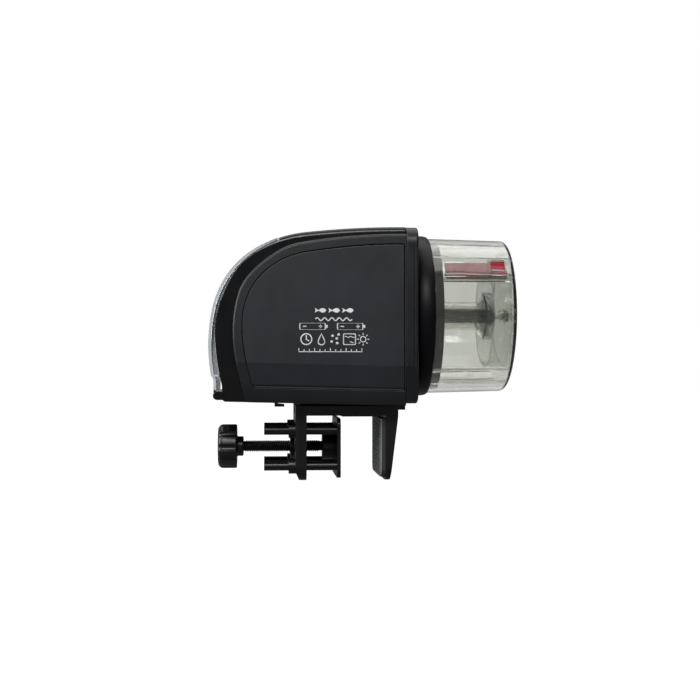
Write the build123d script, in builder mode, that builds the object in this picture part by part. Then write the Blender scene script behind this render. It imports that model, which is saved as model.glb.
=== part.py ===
"""Clamp-on automatic fish feeder with a rotating food drum.

Frame: origin at the centre of the clamp bar's underside, where the tank's rim seats.
+X runs along the drum's axis towards the drum, +Z is up, -Y is the side with the battery cover.
Lengths are in millimetres.
"""

import os
from math import acos, cos, pi, radians, sin, sqrt, tan

from build123d import *

os.makedirs("parts", exist_ok=True)


# ---------------------------------------------------------------- driving dimensions

CLEAR = 0.3                 # gap between pieces that move past each other
FIT = 0.05                  # radial gap of a turning or sliding fit
WALL = 2.0                  # moulded wall

AXIS_Z = 45.6               # drum axis above the tank's rim

# housing
END_X = 25.2                # plane where the shells meet the end collar
SIDE_Y = 31.5               # outer face of the recessed side band
PAD_Y = 36.5                # outer face of the raised side pad
LEDGE_Y = 32.9              # seat inside the pad for tray and far panel
PANEL_T = 1.9               # thickness of the two D-shaped side panels
SEAM = 0.25                 # visible gap round a side panel
BOTTOM_Z = 5.1              # underside at END_X
BOTTOM_RISE = 0.0231        # rise of the underside towards -X
FACET_Z = 22.2              # crease height at the collar, facet below it
FACET_TURN = 11             # degrees that the facet leans inwards
STEP_X = -29.9              # step where the display cover's top edge lies
LEFT_X = -54.3              # front of the housing near the hinge
COVER_LOW_Z = 17.4          # where the display cover's band ends above the hinge
FACET_DEPTH = (FACET_Z + 4) * tan(radians(FACET_TURN))
BOSSES = ((8.0, 75.0), (-26.0, 67.5), (-33.0, 10.6), (8.0, 10.2))
BOSS_R = 2.6
SHANK_R = 1.2
HEAD_R = 2.2
HEAD_SEAT_Y = 29.0
HEAD_T = 1.6
CROSS_W = 0.6               # cross recess of the screw heads
CROSS_L = 2.6
CROSS_DEPTH = 0.9
SCREW_TIP_Y = 10.0          # how far the screws reach into the near shell

# end collar
COLLAR_END_X = 30.35
COLLAR_Y = 37.5
COLLAR_LOW_Z = 6.0
COLLAR_TOP_Z = 82.9
COLLAR_R = 7.0
GROOVE_X = 28.6
GROOVE_W = 0.5
GROOVE_DEPTH = 0.4
GROOVE_TOP_Z = 75.0
EDGE_R = 0.9                # rounding of the collar's outer edge
COLLAR_HIGH = (COLLAR_TOP_Z + COLLAR_LOW_Z) / 2
BUSH_R = 4.5
BUSH_FLANGE_R = 6.0
BUSH_L = 2.0
BUSH_FLANGE_T = 0.9

# display cover and its hinge
COVER_Y = 31.2
COVER_SKIN = 1.2
COVER_LIP = 1.6
HINGE_X = -56.6
HINGE_Z = 9.5
KNUCKLE_R = 1.85
HINGE_PIN_R = 0.8
HINGE_INNER_Y = 25.6

# front panel, behind the display cover
FASCIA_X = -54.2
FASCIA_T = 1.8
FLANGE_T = 1.2
FASCIA_Y = 26.8
FASCIA_LOW_Z = 13.3
FASCIA_TOP_Z = 52.8
WINDOW_W = 38.0
WINDOW_H = 16.0
WINDOW_Z = 41.0
BUTTON_Z = 23.0
BUTTON_R = 3.4
BUTTON_PITCH = 11.0
BUTTON_NAMES = ("set_button", "mode_button", "time_button", "feed_button")
BOARD_X = -47.0
BOARD_T = 1.6
FLANGE_X = FASCIA_X + FASCIA_T
FLANGE_BACK_X = FLANGE_X + FLANGE_T
FLANGE_Y = 27.8
FASCIA_MID_Z = (FASCIA_LOW_Z + FASCIA_TOP_Z) / 2
BUTTON_YS = [BUTTON_PITCH * (i - 1.5) for i in range(4)]
POSTS = [(y, z) for y in (-23.5, 23.5) for z in (16.5, 49.5)]
BUTTON_OUT = 1.3
BUTTON_FLANGE_R = BUTTON_R + 1.0
BUTTON_FLANGE_T = 0.6
POST_R = 2.2
POST_SCREW_R = 0.9
POST_HEAD_R = 1.9
POST_SCREW_L = 2.8
BOARD_W = 52.0
BOARD_H = 38.0
BOARD_Z = 33.0
LENS_T = 1.2
SWITCH_X = BOARD_X - 2.4    # tips of the switches' stems
SWITCH_W = 6.0
STEM_R = 1.7
STEM_L = 0.8

# batteries
CELL_R = 7.1
CELL_L = 50.0
CELL_Y = -26.0
CELL_ZS = (23.0, 40.2)
TRAY_LOW_X = -39.4
TRAY_HIGH_X = 16.4
TRAY_WALL = 1.2
TRAY_FLOOR_Y = CELL_Y + CELL_R + 0.5
TRAY_LOW_Z = CELL_ZS[0] - CELL_R - 1.0
TRAY_HIGH_Z = CELL_ZS[1] + CELL_R + 1.0
TRAY_MID_X = (TRAY_LOW_X + TRAY_HIGH_X) / 2
TRAY_MID_Z = (TRAY_LOW_Z + TRAY_HIGH_Z) / 2
TRAY_FLANGE_T = 1.4
CELL_X = -36.4
NUB_R = 2.6
NUB_L = 1.2
CONTACT_W = 12.0
CONTACT_H = 11.0
CONTACT_T = 0.4
SPRING_WIDE_R = 3.6
SPRING_NARROW_R = 2.4
CONTACT_LOW_X = TRAY_LOW_X + TRAY_WALL
CONTACT_HIGH_X = TRAY_HIGH_X - TRAY_WALL

# gear train
MODULE = 0.8
PRESSURE = radians(25)
PINION_TEETH = 12
GEAR_TEETH = 44
CENTRE_SLACK = 0.08
GEAR_X = 20.2
GEAR_T = 3.5
PINION_Z = AXIS_Z - MODULE * (PINION_TEETH + GEAR_TEETH) / 2 - CENTRE_SLACK
BULKHEAD_X = 16.7
BULKHEAD_T = 2.0
SHAFT_R = 3.0
MOTOR_R = 10.0
MOTOR_L = 25.0
MOTOR_SHAFT_R = 1.5
SHAFT_X = 10.4
SHAFT_END_X = 36.6
CAM_X = 12.0
CAM_T = 2.4
CAM_R = 8.0
NOTCH_R = 1.8
PINION_OVER = 0.3           # how far the pinion stands past the gear on each side
WEB_HOLE_AT = 10.5
WEB_HOLES = 6
WEB_HOLE_R = 2.6
MOTOR_CAP_R = 4.0
MOTOR_CAP_T = 1.5
MOTOR_HOLE_R = 3.0
WIRE_Y = 6.5
WIRE_R = 0.6
BULKHEAD_TOP_Z = 80.4
TURN_SWITCH_L = 6.0
TURN_SWITCH_W = 12.8
TURN_SWITCH_H = 6.5

# drum, narrowing slightly to a crowned end wall
BASE_X = 30.8
BASE_R = 35.6               # drum base beside the collar
RIM_R = 36.8                # widest part of the base
RIM_END_R = 36.2
DRUM_X = 38.1
DRUM_END_X = 74.0
CROWN = 2.6                 # rise of the end wall at its centre
DRUM_R = 35.6
DRUM_END_R = 34.7
DRUM_WALL = 1.6
DRUM_CORNER_R = 2.4
SPIGOT_END_X = 42.0         # collar of the base that the drum slips over
SPIGOT_T = 1.8
SPIGOT_R = DRUM_R - DRUM_WALL - 0.25
KEY_ANGLES = (48, 64)       # keys inside the drum, measured from level on all four sides
KEY_W = 1.2
KEY_LOW_R = 32.4
KEY_TOP_R = 34.25           # inside the wall along its whole length
KEY_SLOT_W = 3.0
BOSS_HUB_R = 9.0            # boss in the middle of the base
SPINDLE_X = 37.0
SPINDLE_R = 3.3
SPINDLE_END_X = 70.0
TUBE_R = 6.5
TUBE_T = 1.1
TUBE_END_X = 61.8
HUB_X = 64.8
HUB_END_X = 68.6
HUB_R = 10.9
HUB_RIM_T = 1.6
HUB_WEB_T = 1.4
HUB_EYE_R = SPINDLE_R + 1.4
PIN_R = 1.5
PIN_X = 58.0
PIN_END_X = 74.2
SOCKET_WALL_X = 72.6        # end boss of the drum, round the pin's tip
SOCKET_BOSS_R = 3.4
PLUG_R = 3.0
PLUG_T = 1.6
PEG_R = 1.2
PEG_X = 75.2
RING_R = 23.4
RING_T = 1.2
RING_X = 65.4

# portion slider
SLIDER_ANGLE = 38.5
SLIDER_W = 8.0
SLIDER_LOW_R = 29.6
SLIDER_T = 1.5
SLIDER_X = 43.8
SLIDER_END_X = 70.8
SLIDER_TRAVEL = 10.0
GATE_X = 62.8
GATE_R = 32.9
PIP_AT = 6.0                # raised finger pip, from the slider's end
PIP_L = 5.0
PIP_W = 2.2
PIP_H = 0.5
RAIL_T = 0.8
RAIL_X = 43.0
LIP_W = 1.2                 # lips that reach over the slider's edges
LIP_IN = 3.6
OUTLET_X = 63.6
OUTLET_END_X = 70.2
OUTLET_W = 6.0
OUTLET_R = 0.8
KEY_TURNS = [a for angle in KEY_ANGLES for a in (angle, -angle, 180 - angle, 180 + angle)]
SLIDER_SIDE_TURN = 180 - KEY_ANGLES[0]
RAIL_LOW_R = SLIDER_LOW_R - CLEAR - RAIL_T
RAIL_TOP_R = 33.9
RAIL_END_X = DRUM_END_X - DRUM_WALL + 0.3   # runs into the end wall
LIP_END_X = GATE_X - SLIDER_TRAVEL - CLEAR
INNER_END_X = DRUM_END_X - DRUM_WALL
INNER_END_R = DRUM_END_R - DRUM_WALL

# clamp
CLAMP_Y = 22.5
BAR_TOP_Z = 4.8
JAW_X = 17.4
JAW_OUT_X = 23.0            # outer face of the fixed leg at its top
JAW_TIP_X = 19.5            # and at its tip
LEG_X = -22.5
LEG_IN_X = -17.6
LEG_LOW_Z = -28.4
PAD_FACE_X = 15.3
PAD_HALF = 22.2
PAD_TOP_Z = -1.0
PAD_H = 26.0
PAD_R = 4.0
SEAT_X = -2.1
SEAT_END_X = 15.0
SEAT_RELIEF = 0.4
SLOT_TOP_Z = 3.2
SLOT_LOW_Z = 1.0
SLOT_HALF = 7.3
NECK_HALF = 4.0
RAIL_HALF_X = 20.0
SCREW_Z = -14.2
SCREW_R = 2.7
SCREW_ROOT_R = 2.2
SCREW_PITCH = 1.0
SCREW_X = -45.7
SCREW_TIP_X = -5.6
ROD_R = 2.0
ROD_Y = 16.5
ROD_ZS = (-6.25, -22.15)
ROD_X = -36.4
PLATE_X = -4.0
PLATE_T = 1.6
PLATE_HALF = 20.4
PLATE_H = 26.4
SOCKET_X = -9.8
SOCKET_R = 6.2
KNOB_X = -57.3
KNOB_END_X = -48.65
KNOB_R = 10.0
KNOB_LOBES = 10
LOBE_GAP_R = 1.9            # hollows between the knob's lobes
KNOB_BORE_X = KNOB_X + 3.0
KNOB_NECK_R = 4.5
CORNER_R = 6.0
BAR_END_X = 26.1
LIP_Z = 2.95
GUIDE_R = 3.4
GUIDE_OUT = 3.0
NUT_R = 5.4
NUT_OUT = 2.0
ROD_PLACES = [(y, z) for y in (-ROD_Y, ROD_Y) for z in ROD_ZS]
THREAD_END_X = SOCKET_X - 0.4


def bottom_z(x):
    """Height of the housing's underside, which slopes up towards -X."""
    return BOTTOM_Z + (END_X - x) * BOTTOM_RISE


def rims(piece, radius):
    """Circular edges of a piece that have the given radius."""
    circles = piece.edges().filter_by(GeomType.CIRCLE)
    return circles.filter_by(lambda edge: abs(edge.radius - radius) < 0.01)


def save(piece, name):
    """Label a finished piece and write its STEP file."""
    piece.part.label = name
    export_step(piece.part, f"parts/{name}.step")


def arc_chain(start, turn, ends):
    """Tangent arcs through the ends in order, first heading `turn` degrees below -X."""
    heading = (-cos(radians(turn)), -sin(radians(turn)))
    for end in ends:
        arc = TangentArc(start, end, tangent=heading)
        start, heading = end, arc % 1


# ---------------------------------------------------------------- shared outlines, local X and Z

# outer silhouette of housing and closed display cover
with BuildSketch() as silhouette:
    with BuildLine():
        arc_chain(
            (END_X, 83.3), 0,
            [(-18.5, 80.8), (-38.9, 74.3), (-52.6, 61.8), (-58.8, 47.3), (-60.4, 34.7), (-59.1, COVER_LOW_Z)],
        )
        Polyline(
            (-59.1, COVER_LOW_Z), (-55.4, COVER_LOW_Z), (-54.6, 14.0), (LEFT_X, bottom_z(LEFT_X)),
            (END_X, BOTTOM_Z), (END_X, 83.3),
        )
    make_face()
    fillet(silhouette.vertices().sort_by_distance((LEFT_X, bottom_z(LEFT_X)))[0], radius=1.5)

# everything outside the shells' left end, where the display cover lies
with BuildSketch() as cover_zone:
    with BuildLine():
        arc_chain(
            (STEP_X, 76.9), 20,
            [(-41.0, 71.2), (-49.8, 62.0), (-56.1, 47.7), (-57.6, 34.5), (-55.4, COVER_LOW_Z)],
        )
        Polyline(
            (-55.4, COVER_LOW_Z), (-75.0, COVER_LOW_Z), (-75.0, 90.0), (STEP_X, 90.0), (STEP_X, 76.9)
        )
    make_face()

with BuildSketch() as shell_outline:
    add(silhouette.sketch_local)
    add(cover_zone.sketch_local, mode=Mode.SUBTRACT)

with BuildSketch() as pad_outline:
    with BuildLine():
        arc_chain(
            (END_X, 79.7), 0,
            [(-20.0, 75.9), (-31.7, 71.4), (-42.4, 62.5), (-47.8, 52.9), (-49.9, 38.4), (-48.6, 24.5)],
        )
        Polyline((-48.6, 24.5), (-44.2, bottom_z(-44.2)), (END_X, BOTTOM_Z), (END_X, 79.7))
    make_face()
    fillet(pad_outline.vertices().sort_by_distance((-44.2, bottom_z(-44.2)))[0], radius=2.0)

# D-shaped opening of the side panels
with BuildSketch() as seam_outline:
    with BuildLine():
        arc_chain(
            (24.5, 75.4), 0,
            [(-18.8, 71.7), (-33.1, 65.8), (-41.5, 56.9), (-45.9, 43.0), (-44.2, 23.8)],
        )
        Polyline((-44.2, 23.8), (-41.4, 12.9), (24.5, 11.4), (24.5, 75.4))
    make_face()
    fillet(seam_outline.vertices().sort_by_distance((-41.4, 12.9))[0], radius=2.5)

with BuildSketch() as cavity_outline:
    offset(shell_outline.sketch_local, amount=-WALL, kind=Kind.INTERSECTION)

# the leaning lower facet of both sides, cut along the sloping underside
facet_plane = Plane(
    origin=(-70, 0, FACET_Z + (END_X + 70) * BOTTOM_RISE),
    x_dir=(0, 1, 0),
    z_dir=(cos(BOTTOM_RISE), 0, -sin(BOTTOM_RISE)),
)


def facet_tool(side_y):
    """Two wedges that lean the sides in below the crease, for a piece with faces at +-side_y."""
    with BuildPart() as tool:
        with BuildSketch(facet_plane):
            for side in (-1, 1):
                with BuildLine():
                    Polyline(
                        (side * side_y, 0), (side * (side_y + 5), 0),
                        (side * (side_y + 5), -FACET_Z - 8),
                        (side * (side_y - FACET_DEPTH), -FACET_Z - 4), (side * side_y, 0),
                    )
                make_face()
        extrude(amount=110)
    return tool.part


pad_facet = facet_tool(PAD_Y)
collar_facet = facet_tool(COLLAR_Y)


# ---------------------------------------------------------------- housing

# what both halves share, built as the near half
with BuildPart() as shell_half:
    with BuildSketch(Plane.XZ):
        add(shell_outline.sketch_local)
    extrude(amount=SIDE_Y)
    side_face = shell_half.faces().sort_by(Axis.Y)[0]
    fillet(side_face.edges().filter_by_position(Axis.Z, 78, 84), radius=2.2)
    with BuildSketch(Plane.XZ.offset(SIDE_Y - 1)):
        add(pad_outline.sketch_local)
    extrude(amount=PAD_Y - SIDE_Y + 1)
    pad_face = shell_half.faces().sort_by(Axis.Y)[0]
    fillet(pad_face.edges().filter_by_position(Axis.X, -60, END_X - 1), radius=1.2)
    # hollow inside, open at the collar
    with BuildSketch(Plane.XZ.offset(-1)):
        add(cavity_outline.sketch_local)
        with Locations((END_X - WALL, 44.0)):
            Rectangle(3 * WALL, 2 * (44.0 - BOTTOM_Z - WALL) - 0.4)
    extrude(amount=SIDE_Y - WALL + 1, mode=Mode.SUBTRACT)
    # window for the front panel, with a rebate for its flange
    with BuildSketch(Plane.XZ.offset(-1)):
        with Locations((FASCIA_X, (FASCIA_LOW_Z + FASCIA_TOP_Z) / 2)):
            Rectangle(12, FASCIA_TOP_Z - FASCIA_LOW_Z + 0.4)
    extrude(amount=FASCIA_Y + 1.2, mode=Mode.SUBTRACT)
    # bosses for the housing screws
    with BuildSketch(Plane.XZ):
        with Locations(*BOSSES):
            Circle(BOSS_R)
    extrude(amount=SIDE_Y - WALL + 0.5)
    # half of the rail that slides in the clamp bracket
    with BuildSketch(Plane.YZ.offset(-RAIL_HALF_X)):
        with Locations((0, SLOT_LOW_Z + CLEAR)):
            Rectangle(SLOT_HALF - CLEAR, SLOT_TOP_Z - SLOT_LOW_Z - 2 * CLEAR, align=(Align.MAX, Align.MIN))
            Rectangle(NECK_HALF - CLEAR, 5.4, align=(Align.MAX, Align.MIN))
    extrude(amount=2 * RAIL_HALF_X)
    # end knuckle of the display cover's hinge, on a short web
    with BuildSketch(Plane.XZ.offset(HINGE_INNER_Y + CLEAR)):
        with Locations((HINGE_X, HINGE_Z)):
            Circle(KNUCKLE_R)
            Rectangle(4.0, 2 * KNUCKLE_R, align=(Align.MIN, Align.CENTER))
    extrude(amount=SIDE_Y - HINGE_INNER_Y - CLEAR)
    with BuildSketch(Plane.XZ.offset(HINGE_INNER_Y)):
        with Locations((HINGE_X, HINGE_Z)):
            Circle(HINGE_PIN_R)
    extrude(amount=SIDE_Y - HINGE_INNER_Y - 1.5, mode=Mode.SUBTRACT)
    add(pad_facet, mode=Mode.SUBTRACT)

with BuildPart() as near_shell:
    add(shell_half.part)
    # battery opening: the cover's recess, then a smaller way in that leaves a ledge
    with BuildSketch(Plane.XZ.offset(LEDGE_Y)):
        add(seam_outline.sketch_local)
    extrude(amount=PAD_Y - LEDGE_Y + 1, mode=Mode.SUBTRACT)
    with BuildSketch(Plane.XZ.offset(SIDE_Y - WALL - 1)):
        offset(seam_outline.sketch_local, amount=-2.0)
    extrude(amount=LEDGE_Y - SIDE_Y + WALL + 2, mode=Mode.SUBTRACT)
    # pilot holes of the housing screws
    with BuildSketch(Plane.XZ.offset(-0.5)):
        with Locations(*BOSSES):
            Circle(SHANK_R)
    extrude(amount=12, mode=Mode.SUBTRACT)
save(near_shell, "near_shell")

with BuildPart() as far_shell:
    add(shell_half.part.mirror(Plane.XZ))
    # recess of the fixed far panel
    with BuildSketch(Plane.XZ.offset(-PAD_Y - 1)):
        add(seam_outline.sketch_local)
    extrude(amount=PAD_Y - LEDGE_Y + 1, mode=Mode.SUBTRACT)
    # screw holes with a seat for each head
    with BuildSketch(Plane.XZ.offset(-LEDGE_Y - 1)):
        with Locations(*BOSSES):
            Circle(SHANK_R + 0.1)
    extrude(amount=LEDGE_Y + 2, mode=Mode.SUBTRACT)
    with BuildSketch(Plane.XZ.offset(-PAD_Y - 1)):
        with Locations(*BOSSES):
            Circle(HEAD_R + 0.2)
    extrude(amount=PAD_Y + 1 - HEAD_SEAT_Y, mode=Mode.SUBTRACT)
save(far_shell, "far_shell")

with BuildPart() as housing_screws:
    with BuildSketch(Plane.XZ.offset(-HEAD_SEAT_Y)):
        with Locations(*BOSSES):
            Circle(SHANK_R)
    extrude(amount=HEAD_SEAT_Y + SCREW_TIP_Y)
    with BuildSketch(Plane.XZ.offset(-HEAD_SEAT_Y - HEAD_T)):
        with Locations(*BOSSES):
            Circle(HEAD_R)
    extrude(amount=HEAD_T)
    with BuildSketch(Plane.XZ.offset(-HEAD_SEAT_Y - HEAD_T)):
        with Locations(*BOSSES):
            Rectangle(CROSS_L, CROSS_W)
            Rectangle(CROSS_W, CROSS_L)
    extrude(amount=CROSS_DEPTH, mode=Mode.SUBTRACT)
save(housing_screws, "housing_screws")

# near panel: slides off for the batteries
with BuildPart() as battery_cover:
    with BuildSketch(Plane.XZ.offset(PAD_Y - PANEL_T)):
        offset(seam_outline.sketch_local, amount=-SEAM)
    extrude(amount=PANEL_T)
    fillet(battery_cover.faces().sort_by(Axis.Y)[0].edges(), radius=0.4)
    add(pad_facet, mode=Mode.SUBTRACT)
save(battery_cover, "battery_cover")

# far panel: glued on over the screw heads, its skirt standing on the recess floor
with BuildPart() as far_side_panel:
    with BuildSketch(Plane.XZ.offset(-PAD_Y)):
        offset(seam_outline.sketch_local, amount=-SEAM)
    extrude(amount=PANEL_T)
    fillet(far_side_panel.faces().sort_by(Axis.Y)[-1].edges(), radius=0.4)
    with BuildSketch(Plane.XZ.offset(-PAD_Y + PANEL_T)):
        offset(seam_outline.sketch_local, amount=-SEAM)
        offset(seam_outline.sketch_local, amount=-SEAM - 1.2, mode=Mode.SUBTRACT)
    extrude(amount=PAD_Y - PANEL_T - LEDGE_Y)
    with Locations(*((x, HEAD_SEAT_Y + 3, z) for x, z in BOSSES)):
        Cylinder(HEAD_R + 0.4, 6, rotation=(90, 0, 0), mode=Mode.SUBTRACT)
    add(pad_facet, mode=Mode.SUBTRACT)
save(far_side_panel, "far_side_panel")

# end collar: a square cap that closes the shells and carries a shaft bush
with BuildPart() as end_collar:
    with BuildSketch(Plane.YZ.offset(END_X)):
        with Locations((0, COLLAR_HIGH)):
            RectangleRounded(2 * COLLAR_Y, COLLAR_TOP_Z - COLLAR_LOW_Z, COLLAR_R)
    extrude(amount=COLLAR_END_X - END_X)
    fillet(end_collar.faces().sort_by(Axis.X)[-1].edges(), radius=EDGE_R)
    with BuildSketch(Plane.YZ.offset(END_X)):
        with Locations((0, COLLAR_HIGH)):
            RectangleRounded(
                2 * (COLLAR_Y - WALL), COLLAR_TOP_Z - COLLAR_LOW_Z - 2 * WALL, COLLAR_R - WALL
            )
    extrude(amount=COLLAR_END_X - END_X - WALL, mode=Mode.SUBTRACT)
    with Locations((COLLAR_END_X, 0, AXIS_Z)):
        Cylinder(BUSH_R, 12, rotation=(0, 90, 0), mode=Mode.SUBTRACT)
    # vertical groove down both sides, ending at the crease
    with Locations(*((GROOVE_X, side * COLLAR_Y, FACET_Z) for side in (-1, 1))):
        Box(
            GROOVE_W, 2 * GROOVE_DEPTH, GROOVE_TOP_Z - FACET_Z,
            align=(Align.CENTER, Align.CENTER, Align.MIN), mode=Mode.SUBTRACT,
        )
    add(collar_facet, mode=Mode.SUBTRACT)
save(end_collar, "end_collar")

# catch under the housing, an L that points towards the clamp bracket
with BuildPart() as rail_catch:
    with BuildSketch(Plane.XZ.offset(-5)):
        with BuildLine():
            Polyline(
                (-31.6, bottom_z(-31.6)), (-31.6, 3.9), (-27.2, 3.9), (-27.2, 4.9),
                (-30.2, 5.2), (-30.2, bottom_z(-30.2)), (-31.6, bottom_z(-31.6)),
            )
        make_face()
    extrude(amount=10)
save(rail_catch, "rail_catch")


# ---------------------------------------------------------------- display cover and front panel

with BuildPart() as display_cover:
    with BuildSketch(Plane.XZ.offset(-COVER_Y)):
        add(silhouette.sketch_local)
        offset(cover_zone.sketch_local, amount=-CLEAR, mode=Mode.INTERSECT)
    extrude(amount=2 * COVER_Y)
    with BuildSketch(Plane.XZ.offset(-COVER_Y + COVER_LIP)):
        offset(silhouette.sketch_local, amount=-COVER_SKIN)
    extrude(amount=2 * (COVER_Y - COVER_LIP), mode=Mode.SUBTRACT)
    # skirt from the skin down to the knuckle
    with BuildSketch(Plane.XZ.offset(-HINGE_INNER_Y)):
        with BuildLine():
            Polyline(
                (-59.1, 18.4), (-58.4, 15.6), (HINGE_X - KNUCKLE_R, HINGE_Z + 1.0),
                (HINGE_X - KNUCKLE_R + 1.2, HINGE_Z + 1.0), (-57.2, 15.8), (-57.9, 18.4), (-59.1, 18.4),
            )
        make_face()
        with Locations((HINGE_X, HINGE_Z)):
            Circle(KNUCKLE_R)
            Circle(HINGE_PIN_R + FIT, mode=Mode.SUBTRACT)
    extrude(amount=2 * HINGE_INNER_Y)
save(display_cover, "display_cover")

with BuildPart() as cover_hinge_pin:
    with Locations((HINGE_X, 0, HINGE_Z)):
        Cylinder(HINGE_PIN_R, 2 * (SIDE_Y - 1.6), rotation=(90, 0, 0))
save(cover_hinge_pin, "cover_hinge_pin")

with BuildPart() as control_fascia:
    with BuildSketch(Plane.YZ.offset(FASCIA_X)):
        with Locations((0, FASCIA_MID_Z)):
            RectangleRounded(2 * FASCIA_Y, FASCIA_TOP_Z - FASCIA_LOW_Z, 1.5)
    extrude(amount=FASCIA_T)
    with BuildSketch(Plane.YZ.offset(FLANGE_X)):
        with Locations((0, FASCIA_MID_Z)):
            RectangleRounded(2 * FLANGE_Y, FASCIA_TOP_Z - FASCIA_LOW_Z, 4.0)
    extrude(amount=FLANGE_T)
    with BuildSketch(Plane.YZ.offset(FLANGE_BACK_X)):
        with Locations(*POSTS):
            Circle(POST_R)
    extrude(amount=BOARD_X - FLANGE_BACK_X)
    with BuildSketch(Plane.YZ.offset(FASCIA_X - 1)):
        with Locations((0, WINDOW_Z)):
            Rectangle(WINDOW_W, WINDOW_H)
        with Locations(*((y, BUTTON_Z) for y in BUTTON_YS)):
            Circle(BUTTON_R + CLEAR)
    extrude(amount=FASCIA_T + FLANGE_T + 2, mode=Mode.SUBTRACT)
    with BuildSketch(Plane.YZ.offset(BOARD_X - POST_SCREW_L - 0.2)):
        with Locations(*POSTS):
            Circle(POST_SCREW_R)
    extrude(amount=POST_SCREW_L + 1, mode=Mode.SUBTRACT)
save(control_fascia, "control_fascia")

with BuildPart() as lcd_lens:
    with BuildSketch(Plane.YZ.offset(FASCIA_X)):
        with Locations((0, WINDOW_Z)):
            Rectangle(WINDOW_W - 2 * FIT, WINDOW_H - 2 * FIT)
    extrude(amount=LENS_T)
save(lcd_lens, "lcd_lens")

with BuildPart() as lcd_module:
    with BuildSketch(Plane.YZ.offset(FASCIA_X + LENS_T + 0.1)):
        with Locations((0, WINDOW_Z)):
            Rectangle(WINDOW_W - 0.4, WINDOW_H - 0.4)
    extrude(amount=BOARD_X - FASCIA_X - LENS_T - 0.1)
save(lcd_module, "lcd_module")

# a button: crowned cap in front of the panel, flange behind it
for button_name, y in zip(BUTTON_NAMES, BUTTON_YS):
    with BuildPart() as button:
        with BuildSketch(Plane.YZ.offset(FASCIA_X - BUTTON_OUT)):
            with Locations((y, BUTTON_Z)):
                Circle(BUTTON_R)
        extrude(amount=BUTTON_OUT + FASCIA_T + FLANGE_T + 0.1)
        fillet(button.faces().sort_by(Axis.X)[0].edges(), radius=0.8)
        with BuildSketch(Plane.YZ.offset(FLANGE_BACK_X + 0.1)):
            with Locations((y, BUTTON_Z)):
                Circle(BUTTON_FLANGE_R)
        extrude(amount=BUTTON_FLANGE_T)
    save(button, button_name)

with BuildPart() as control_board:
    with BuildSketch(Plane.YZ.offset(BOARD_X)):
        with Locations((0, BOARD_Z)):
            Rectangle(BOARD_W, BOARD_H)
        with Locations(*POSTS):
            Circle(POST_SCREW_R + 0.2, mode=Mode.SUBTRACT)
    extrude(amount=BOARD_T)
    # controller and its crystal on the back
    with BuildSketch(Plane.YZ.offset(BOARD_X + BOARD_T)):
        with Locations((0, BOARD_Z + 1)):
            Rectangle(10, 10)
        with Locations((14, BOARD_Z + 1)):
            Rectangle(4, 9)
    extrude(amount=1.5)
save(control_board, "control_board")

with BuildPart() as tact_switches:
    with BuildSketch(Plane.YZ.offset(SWITCH_X + STEM_L)):
        with Locations(*((y, BUTTON_Z) for y in BUTTON_YS)):
            Rectangle(SWITCH_W, SWITCH_W)
    extrude(amount=BOARD_X - SWITCH_X - STEM_L)
    with BuildSketch(Plane.YZ.offset(SWITCH_X)):
        with Locations(*((y, BUTTON_Z) for y in BUTTON_YS)):
            Circle(STEM_R)
    extrude(amount=STEM_L)
save(tact_switches, "tact_switches")

with BuildPart() as board_screws:
    with BuildSketch(Plane.YZ.offset(BOARD_X - POST_SCREW_L)):
        with Locations(*POSTS):
            Circle(POST_SCREW_R)
    extrude(amount=BOARD_T + POST_SCREW_L)
    with BuildSketch(Plane.YZ.offset(BOARD_X + BOARD_T)):
        with Locations(*POSTS):
            Circle(POST_HEAD_R)
    extrude(amount=1.2)
save(board_screws, "board_screws")


# ---------------------------------------------------------------- batteries

with BuildPart() as battery_tray:
    with BuildSketch(Plane.XZ.offset(LEDGE_Y)):
        offset(seam_outline.sketch_local, amount=-SEAM)
    extrude(amount=TRAY_FLANGE_T)
    with BuildSketch(Plane.XZ.offset(-TRAY_FLOOR_Y - TRAY_WALL)):
        with Locations((TRAY_MID_X, TRAY_MID_Z)):
            Rectangle(TRAY_HIGH_X - TRAY_LOW_X, TRAY_HIGH_Z - TRAY_LOW_Z)
    extrude(amount=LEDGE_Y + TRAY_FLOOR_Y + TRAY_WALL)
    lane_h = CELL_ZS[1] - CELL_ZS[0] - TRAY_WALL
    with BuildSketch(Plane.XZ.offset(-TRAY_FLOOR_Y)):
        with Locations(*((TRAY_MID_X, z) for z in CELL_ZS)):
            Rectangle(TRAY_HIGH_X - TRAY_LOW_X - 2 * TRAY_WALL, lane_h - 1.0)
    extrude(amount=PAD_Y + TRAY_FLOOR_Y, mode=Mode.SUBTRACT)
    add(pad_facet, mode=Mode.SUBTRACT)
save(battery_tray, "battery_tray")

# two cells lying head to tail
with BuildPart() as batteries:
    for z, nub_right in zip(CELL_ZS, (True, False)):
        with BuildSketch(Plane.YZ.offset(CELL_X)):
            with Locations((CELL_Y, z)):
                Circle(CELL_R)
        extrude(amount=CELL_L)
        with BuildSketch(Plane.YZ.offset(CELL_X + CELL_L if nub_right else CELL_X - NUB_L)):
            with Locations((CELL_Y, z)):
                Circle(NUB_R)
        extrude(amount=NUB_L)
save(batteries, "batteries")

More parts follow.
